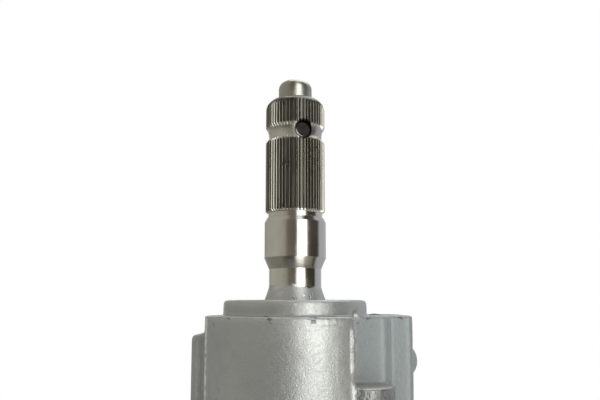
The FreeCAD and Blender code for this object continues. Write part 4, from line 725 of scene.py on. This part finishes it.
class STEERING_OT_plug(bpy.types.Operator):
    """Make the domed plug in the block's right-hand face: shank, flat rim and round crown"""
    bl_idname = "steering.plug"
    bl_label = "Passage plug"

    def execute(self, context):
        plug = context.scene.steering_plug
        low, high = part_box("passage_plug")
        middle = Vector((0.0, (low.y + high.y) / 2, (low.z + high.z) / 2))
        shank = (high.z - low.z) / 2
        seat = plug.face - PLUG_SUNK
        top = plug.face + plug.rim_thickness
        edge = plug.rim_thickness / 2
        profile = [(low.x, 0.0), (low.x, shank), (seat, shank), (seat, plug.rim_radius),
                   (top - edge, plug.rim_radius), (top, plug.rim_radius - edge)]
        centre = plug.face + plug.rise - plug.crown_radius
        opening = math.acos((top - centre) / plug.crown_radius)
        for step in range(DOME_STEPS, -1, -1):
            turn = opening * step / DOME_STEPS
            profile.append((centre + plug.crown_radius * math.cos(turn),
                            plug.crown_radius * math.sin(turn)))
        bm = bmesh.new()
        verts = [bm.verts.new(middle + Vector((x, 0.0, r))) for x, r in profile]
        line = [bm.edges.new(pair) for pair in zip(verts, verts[1:])]
        bmesh.ops.spin(bm, geom=verts + line, cent=middle, axis=(1, 0, 0), angle=math.tau,
                       steps=TURN_STEPS, use_merge=True, use_duplicate=False)
        bmesh.ops.remove_doubles(bm, verts=bm.verts, dist=1e-7)
        bmesh.ops.recalc_face_normals(bm, faces=bm.faces)
        piece = new_piece("domed_plug", bm)
        finish_piece(piece, shared_paint(), "housing")
        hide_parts("passage_plug")
        return {"FINISHED"}


# Screw threads

THREAD_DEPTH = 0.613
THREAD_LEAD_IN = 0.3
STEPS_PER_TURN = 24
CORE_SINK = 0.0001
OUTPUT_CHAMFER = 0.0013
ADJUSTER_CHAMFER = 0.0011


def thread(name, radius, pitch, length):
    """A ridged helix about +Y from y 0 to length, with the ridge's foot inside its core."""
    core = radius - pitch * THREAD_DEPTH
    count = int(STEPS_PER_TURN * length / pitch)
    bm = bmesh.new()
    points = [(core - CORE_SINK, -pitch * 0.44), (core, -pitch * 0.42), (radius, -pitch * 0.08),
              (radius, pitch * 0.08), (core, pitch * 0.42), (core - CORE_SINK, pitch * 0.44)]
    verts = [bm.verts.new((r, y, 0.0)) for r, y in points]
    rim = [bm.edges.new(pair) for pair in zip(verts, verts[1:] + verts[:1])]
    result = bmesh.ops.spin(bm, geom=verts + rim, cent=(0, 0, 0), axis=(0, 1, 0),
                            dvec=(0, pitch / STEPS_PER_TURN, 0),
                            angle=-math.tau * count / STEPS_PER_TURN, steps=count,
                            use_merge=False, use_duplicate=False)
    bmesh.ops.contextual_create(bm, geom=[v for v in result["geom_last"]
                                          if isinstance(v, bmesh.types.BMVert)])
    bmesh.ops.contextual_create(bm, geom=verts)
    for vert in bm.verts:
        edge = min(vert.co.y, length - vert.co.y) / (pitch * THREAD_LEAD_IN)
        if edge < 1.0:
            out = math.hypot(vert.co.x, vert.co.z)
            keep = core + (out - core) * max(edge, 0.0) if out > core else out
            vert.co.x *= keep / out
            vert.co.z *= keep / out
        vert.co.y = max(0.0, min(length, vert.co.y))
    bmesh.ops.recalc_face_normals(bm, faces=bm.faces)
    return new_piece(name, bm)


class STEERING_OT_threads(bpy.types.Operator):
    """Cut the output thread and the adjuster's thread"""
    bl_idname = "steering.threads"
    bl_label = "Threads"

    def execute(self, context):
        threads = context.scene.steering_threads
        steel = turned_steel("thread_steel", (0.42, 0.415, 0.40), 0.32, axis="y")
        length = OUTPUT_TIP - NUT_END - OUTPUT_CHAMFER
        output = thread("output_thread", threads.output_radius, threads.output_pitch, length)
        output.data.transform(Matrix.Translation((SECTOR_AT.x, NUT_END, SECTOR_AT.z)))
        finish_piece(output, steel, "sector")
        start = ADJUSTER_TIP + ADJUSTER_CHAMFER
        adjuster = thread("adjuster_thread", threads.adjuster_radius, threads.adjuster_pitch,
                          LOCKNUT_END - start)
        adjuster.data.transform(Matrix.Translation((SECTOR_AT.x, start, SECTOR_AT.z)))
        finish_piece(adjuster, steel, "housing")
        return {"FINISHED"}


# Finishes on the CAD nodes

class STEERING_OT_shafts(bpy.types.Operator):
    """Finish the input shaft, its torsion bar and the cross pin"""
    bl_idname = "steering.shafts"
    bl_label = "Shafts"

    def execute(self, context):
        dress(["input_shaft"], shaft_steel())
        dress(["torsion_bar"], turned_steel("torsion_steel", (0.39, 0.385, 0.34), 0.32))
        dress(["torsion_bar_pin"], cross_pin_steel())
        dress(["sector_shaft"],
              turned_steel("sector_steel", (0.46, 0.455, 0.44), 0.28, axis="y"))
        return {"FINISHED"}


class STEERING_OT_fasteners(bpy.types.Operator):
    """Finish the bolts, nuts, clips and plugs"""
    bl_idname = "steering.fasteners"
    bl_label = "Fasteners"

    def execute(self, context):
        dress(["valve_housing_bolts", "side_cover_bolts", "adjuster_screw", "adjuster_locknut"],
              plated("zinc_plate", (0.55, 0.545, 0.52), 0.34))
        dress(["pitman_nut", "pitman_washer"], plated("dark_plate", (0.17, 0.165, 0.15), 0.36))
        dress(["end_plug_ring", "input_retaining_ring", "output_retaining_ring",
               "guide_clamp_screws"], turned_steel("black_steel", (0.09, 0.09, 0.092), 0.38))
        dress(["top_passage_plug"], turned_steel("plug_steel", (0.11, 0.105, 0.095), 0.4))
        return {"FINISHED"}


class STEERING_OT_seals(bpy.types.Operator):
    """Finish the seals, rings, bush and port seats"""
    bl_idname = "steering.seals"
    bl_label = "Seals and rings"

    def execute(self, context):
        dress(["input_dust_seal", "output_dust_seal", "input_oil_seal", "output_oil_seal",
               "valve_housing_seal", "side_cover_seal", "end_plug_seal", "piston_backing_ring"],
              rubber("seal_rubber", (0.020, 0.020, 0.022)))
        dress(["valve_sleeve_rings", "piston_ring"], rubber("ring_plastic", (0.16, 0.09, 0.05)))
        dress(["port_seats"], turned_steel("brass", (0.66, 0.47, 0.20), 0.24, axis="y"))
        dress(["side_cover_bush"], turned_steel("bronze", (0.50, 0.31, 0.15), 0.3, axis="y"))
        return {"FINISHED"}


class STEERING_OT_works(bpy.types.Operator):
    """Finish the worm, valve, piston, bearings and end plug"""
    bl_idname = "steering.works"
    bl_label = "Inner works"

    def execute(self, context):
        dress(["worm_shaft", "valve_sleeve", "rack_piston", "piston_end_plug", "race_nut",
               "sleeve_drive_pin"], turned_steel("works_steel", (0.45, 0.445, 0.44), 0.25))
        dress(["ball_train", "thrust_races", "upper_thrust_needles", "lower_thrust_needles",
               "input_bearing_rollers", "input_bearing_shell"],
              turned_steel("bearing_steel", (0.62, 0.62, 0.61), 0.12))
        dress(["output_bearing_rollers", "output_bearing_shell"],
              turned_steel("roller_steel", (0.60, 0.60, 0.59), 0.14, axis="y"))
        dress(["ball_return_guide", "guide_clamp"],
              plated("guide_plate", (0.50, 0.50, 0.48), 0.3))
        dress(["end_plug"], cast_grey())
        return {"FINISHED"}


# Stage

FLOOR_GAP = 0.0002

# What glossy rays alone see of the room: colours by azimuth in degrees, 0 in front. The ramp
# holds them divided by WINDOW and the result is multiplied by it, so no ramp colour is over 1
WINDOW = 2.4
WALL_BANDS = [
    (-180, (0.60, 0.61, 0.64)), (-171, (0.34, 0.34, 0.32)), (-166, (1.10, 1.10, 1.06)),
    (-156, (1.10, 1.10, 1.06)), (-151, (0.36, 0.36, 0.33)),
    (-120, (0.52, 0.52, 0.47)), (-60, (0.52, 0.52, 0.45)), (-40, (0.46, 0.44, 0.37)),
    (-24, (0.23, 0.195, 0.155)), (5, (0.15, 0.13, 0.12)), (15, (1.35, 1.38, 1.42)),
    (31, (1.35, 1.38, 1.40)), (49, (0.06, 0.055, 0.04)), (94, (0.06, 0.058, 0.048)),
    (101, (0.58, 0.59, 0.64)), (180, (0.60, 0.61, 0.66))]
FLOOR_BANDS = [
    (-180, (0.40, 0.40, 0.40)), (-120, (0.28, 0.28, 0.25)), (-60, (0.26, 0.25, 0.21)),
    (-36, (0.12, 0.10, 0.085)), (1, (0.06, 0.045, 0.045)), (8, (2.30, 2.30, 2.30)),
    (30, (2.30, 2.30, 2.30)), (46, (0.50, 0.48, 0.38)), (66, (0.36, 0.34, 0.27)),
    (88, (0.10, 0.09, 0.08)), (101, (0.55, 0.56, 0.60)), (180, (0.50, 0.50, 0.52))]


def room_bands(tree, x, y, bands):
    """What shiny faces mirror of the room round about, from an azimuth out of x and y."""
    flip = tree.nodes.new("ShaderNodeMath")
    flip.operation = "MULTIPLY"
    flip.inputs[1].default_value = -1.0
    tree.links.new(y, flip.inputs[0])
    turn = tree.nodes.new("ShaderNodeMath")
    turn.operation = "ARCTAN2"
    tree.links.new(x, turn.inputs[0])
    tree.links.new(flip.outputs[0], turn.inputs[1])
    share = tree.nodes.new("ShaderNodeMapRange")
    share.inputs["From Min"].default_value = -math.pi
    share.inputs["From Max"].default_value = math.pi
    tree.links.new(turn.outputs[0], share.inputs["Value"])
    flags = tree.nodes.new("ShaderNodeValToRGB")
    flags.color_ramp.interpolation = "EASE"
    tree.links.new(share.outputs["Result"], flags.inputs["Fac"])
    items = flags.color_ramp.elements
    while len(items) < len(bands):
        items.new(0.5)
    for item, (degrees, color) in zip(items, bands):
        item.position = (degrees + 180.0) / 360.0
        item.color = (*(c / WINDOW for c in color), 1.0)
    level = tree.nodes.new("ShaderNodeVectorMath")
    level.operation = "SCALE"
    level.inputs["Scale"].default_value = WINDOW
    tree.links.new(flags.outputs["Color"], level.inputs[0])
    return level.outputs[0]


def studio_world(fill_level):
    """White for the eye and for glass, a plain level for soft light, and bands for mirrors."""
    world = bpy.data.worlds.new("studio")
    bpy.context.scene.world = world
    world.use_nodes = True
    tree = world.node_tree
    back = tree.nodes["Background"]
    place = tree.nodes.new("ShaderNodeTexCoord").outputs["Generated"]
    parts = tree.nodes.new("ShaderNodeSeparateXYZ")
    tree.links.new(place, parts.inputs[0])
    bands = room_bands(tree, parts.outputs["X"], parts.outputs["Y"], WALL_BANDS)
    rays = tree.nodes.new("ShaderNodeLightPath")
    clear = tree.nodes.new("ShaderNodeMath")
    clear.operation = "MAXIMUM"
    tree.links.new(rays.outputs["Is Camera Ray"], clear.inputs[0])
    tree.links.new(rays.outputs["Is Transmission Ray"], clear.inputs[1])
    room = tree.nodes.new("ShaderNodeMix")
    room.data_type = "RGBA"
    room.inputs[6].default_value = (fill_level, fill_level, fill_level, 1.0)
    tree.links.new(rays.outputs["Is Glossy Ray"], room.inputs["Factor"])
    tree.links.new(bands, room.inputs[7])
    white = tree.nodes.new("ShaderNodeMix")
    white.data_type = "RGBA"
    white.inputs[7].default_value = (1.0, 1.0, 1.0, 1.0)
    tree.links.new(clear.outputs[0], white.inputs["Factor"])
    tree.links.new(room.outputs[2], white.inputs[6])
    tree.links.new(white.outputs[2], back.inputs["Color"])
    back.inputs["Strength"].default_value = 1.0


def floor_material():
    """White floor that keeps the shadow near the gearbox; mirrors see bands there instead."""
    s = Shader("floor_white", (0.93, 0.93, 0.93), 0.0, 0.6)
    x, y, _ = s.axes()
    far = s.step(s.radius(x, y), 0.35, 0.9)
    near = s.step(s.radius(x, y), 0.10, 0.20)
    rays = s.tree.nodes.new("ShaderNodeLightPath")
    eye = s.math("MAXIMUM", rays.outputs["Is Camera Ray"], rays.outputs["Is Transmission Ray"])
    glow = s.tree.nodes.new("ShaderNodeEmission")
    mirrored = s.tree.nodes.new("ShaderNodeEmission")
    s.join(room_bands(s.tree, x, y, FLOOR_BANDS), mirrored.inputs["Color"])
    blend = s.tree.nodes.new("ShaderNodeMixShader")
    s.join(s.math("MULTIPLY", far, eye), blend.inputs[0])
    s.join(s.surface.outputs[0], blend.inputs[1])
    s.join(glow.outputs[0], blend.inputs[2])
    shiny = s.tree.nodes.new("ShaderNodeMixShader")
    s.join(s.math("MULTIPLY", near, rays.outputs["Is Glossy Ray"]), shiny.inputs[0])
    s.join(blend.outputs[0], shiny.inputs[1])
    s.join(mirrored.outputs[0], shiny.inputs[2])
    s.join(shiny.outputs[0], s.tree.nodes["Material Output"].inputs["Surface"])
    return s.material


def soft_lamp(name, azimuth, height, distance, width, tall, power, color):
    """An area lamp that stands at an azimuth from the camera side and looks at the shaft."""
    lamp = bpy.data.lights.new(name, "AREA")
    lamp.shape = "RECTANGLE"
    lamp.size = width
    lamp.size_y = tall
    lamp.energy = power
    lamp.color = color
    piece = bpy.data.objects.new(name, lamp)
    bpy.context.scene.collection.objects.link(piece)
    turn = math.radians(azimuth)
    at = Vector((math.sin(turn) * distance, -math.cos(turn) * distance, height))
    aim = Vector((0.0, 0.0, JOINT_Z + 0.06))
    piece.location = at
    piece.rotation_euler = (aim - at).to_track_quat("-Z", "Y").to_euler()


class STEERING_OT_stage(bpy.types.Operator):
    """Set up the floor, the lamps, the room and the camera"""
    bl_idname = "steering.stage"
    bl_label = "Stage"

    def execute(self, context):
        stage = context.scene.steering_stage
        studio_world(stage.fill_level)
        soft_lamp("key_lamp", azimuth=27.0, height=COLLAR_TOP + 0.14, distance=0.85, width=0.50,
                  tall=0.90, power=stage.key_power, color=(1.0, 0.995, 0.97))
        soft_lamp("top_lamp", azimuth=150.0, height=1.1, distance=0.35, width=0.8, tall=0.8,
                  power=stage.key_power * 0.9, color=(0.97, 0.98, 1.0))
        bm = bmesh.new()
        bmesh.ops.create_grid(bm, x_segments=2, y_segments=2, size=6.0)
        floor = new_piece("floor", bm)
        floor.data.transform(Matrix.Translation((0.0, 0.0, CAD_BOX[0].z - FLOOR_GAP)))
        floor.data.materials.append(floor_material())
        lens = bpy.data.cameras.new("camera")
        lens.sensor_width = 36.0
        lens.lens = 36.0
        lens.shift_y = 0.0605
        lens.clip_start = 0.005
        camera = bpy.data.objects.new("camera", lens)
        context.scene.collection.objects.link(camera)
        camera.location = (stage.camera_side, -stage.camera_distance,
                           COLLAR_TOP - stage.eye_drop)
        camera.rotation_euler = (math.radians(90.0) + stage.tilt, 0.0, 0.0)
        context.scene.camera = camera
        context.scene.view_settings.view_transform = "Standard"
        return {"FINISHED"}


class STEERING_PT_panel(bpy.types.Panel):
    """Shows the steering gearbox's settings and the buttons for its steps"""
    bl_label = "Steering Gearbox"
    bl_idname = "STEERING_PT_panel"
    bl_space_type = "VIEW_3D"
    bl_region_type = "UI"
    bl_category = "Steering Gearbox"

    def draw(self, context):
        for group in SETTINGS:
            box = self.layout.box()
            values = getattr(context.scene, group)
            for name in values.bl_rna.properties.keys():
                if name not in {"rna_type", "name"}:
                    box.prop(values, name)
        for step in STEPS:
            self.layout.operator("steering." + step)


SETTINGS = {
    "steering_castings": CastingSettings,
    "steering_shaft": ShaftSettings,
    "steering_threads": ThreadSettings,
    "steering_plug": PlugSettings,
    "steering_stage": StageSettings,
}
STEPS = ("stage", "castings", "plug", "threads", "shafts", "fasteners", "seals", "works")
CLASSES = (
    *SETTINGS.values(), STEERING_OT_stage, STEERING_OT_castings, STEERING_OT_plug,
    STEERING_OT_threads, STEERING_OT_shafts, STEERING_OT_fasteners, STEERING_OT_seals,
    STEERING_OT_works, STEERING_PT_panel)


def register():
    for item in CLASSES:
        bpy.utils.register_class(item)
    for name, group in SETTINGS.items():
        setattr(bpy.types.Scene, name, PointerProperty(type=group))


def unregister():
    for name in SETTINGS:
        delattr(bpy.types.Scene, name)
    for item in reversed(CLASSES):
        bpy.utils.unregister_class(item)


def main():
    register()
    for step in STEPS:
        getattr(bpy.ops.steering, step)()


if __name__ == "__main__":
    main()
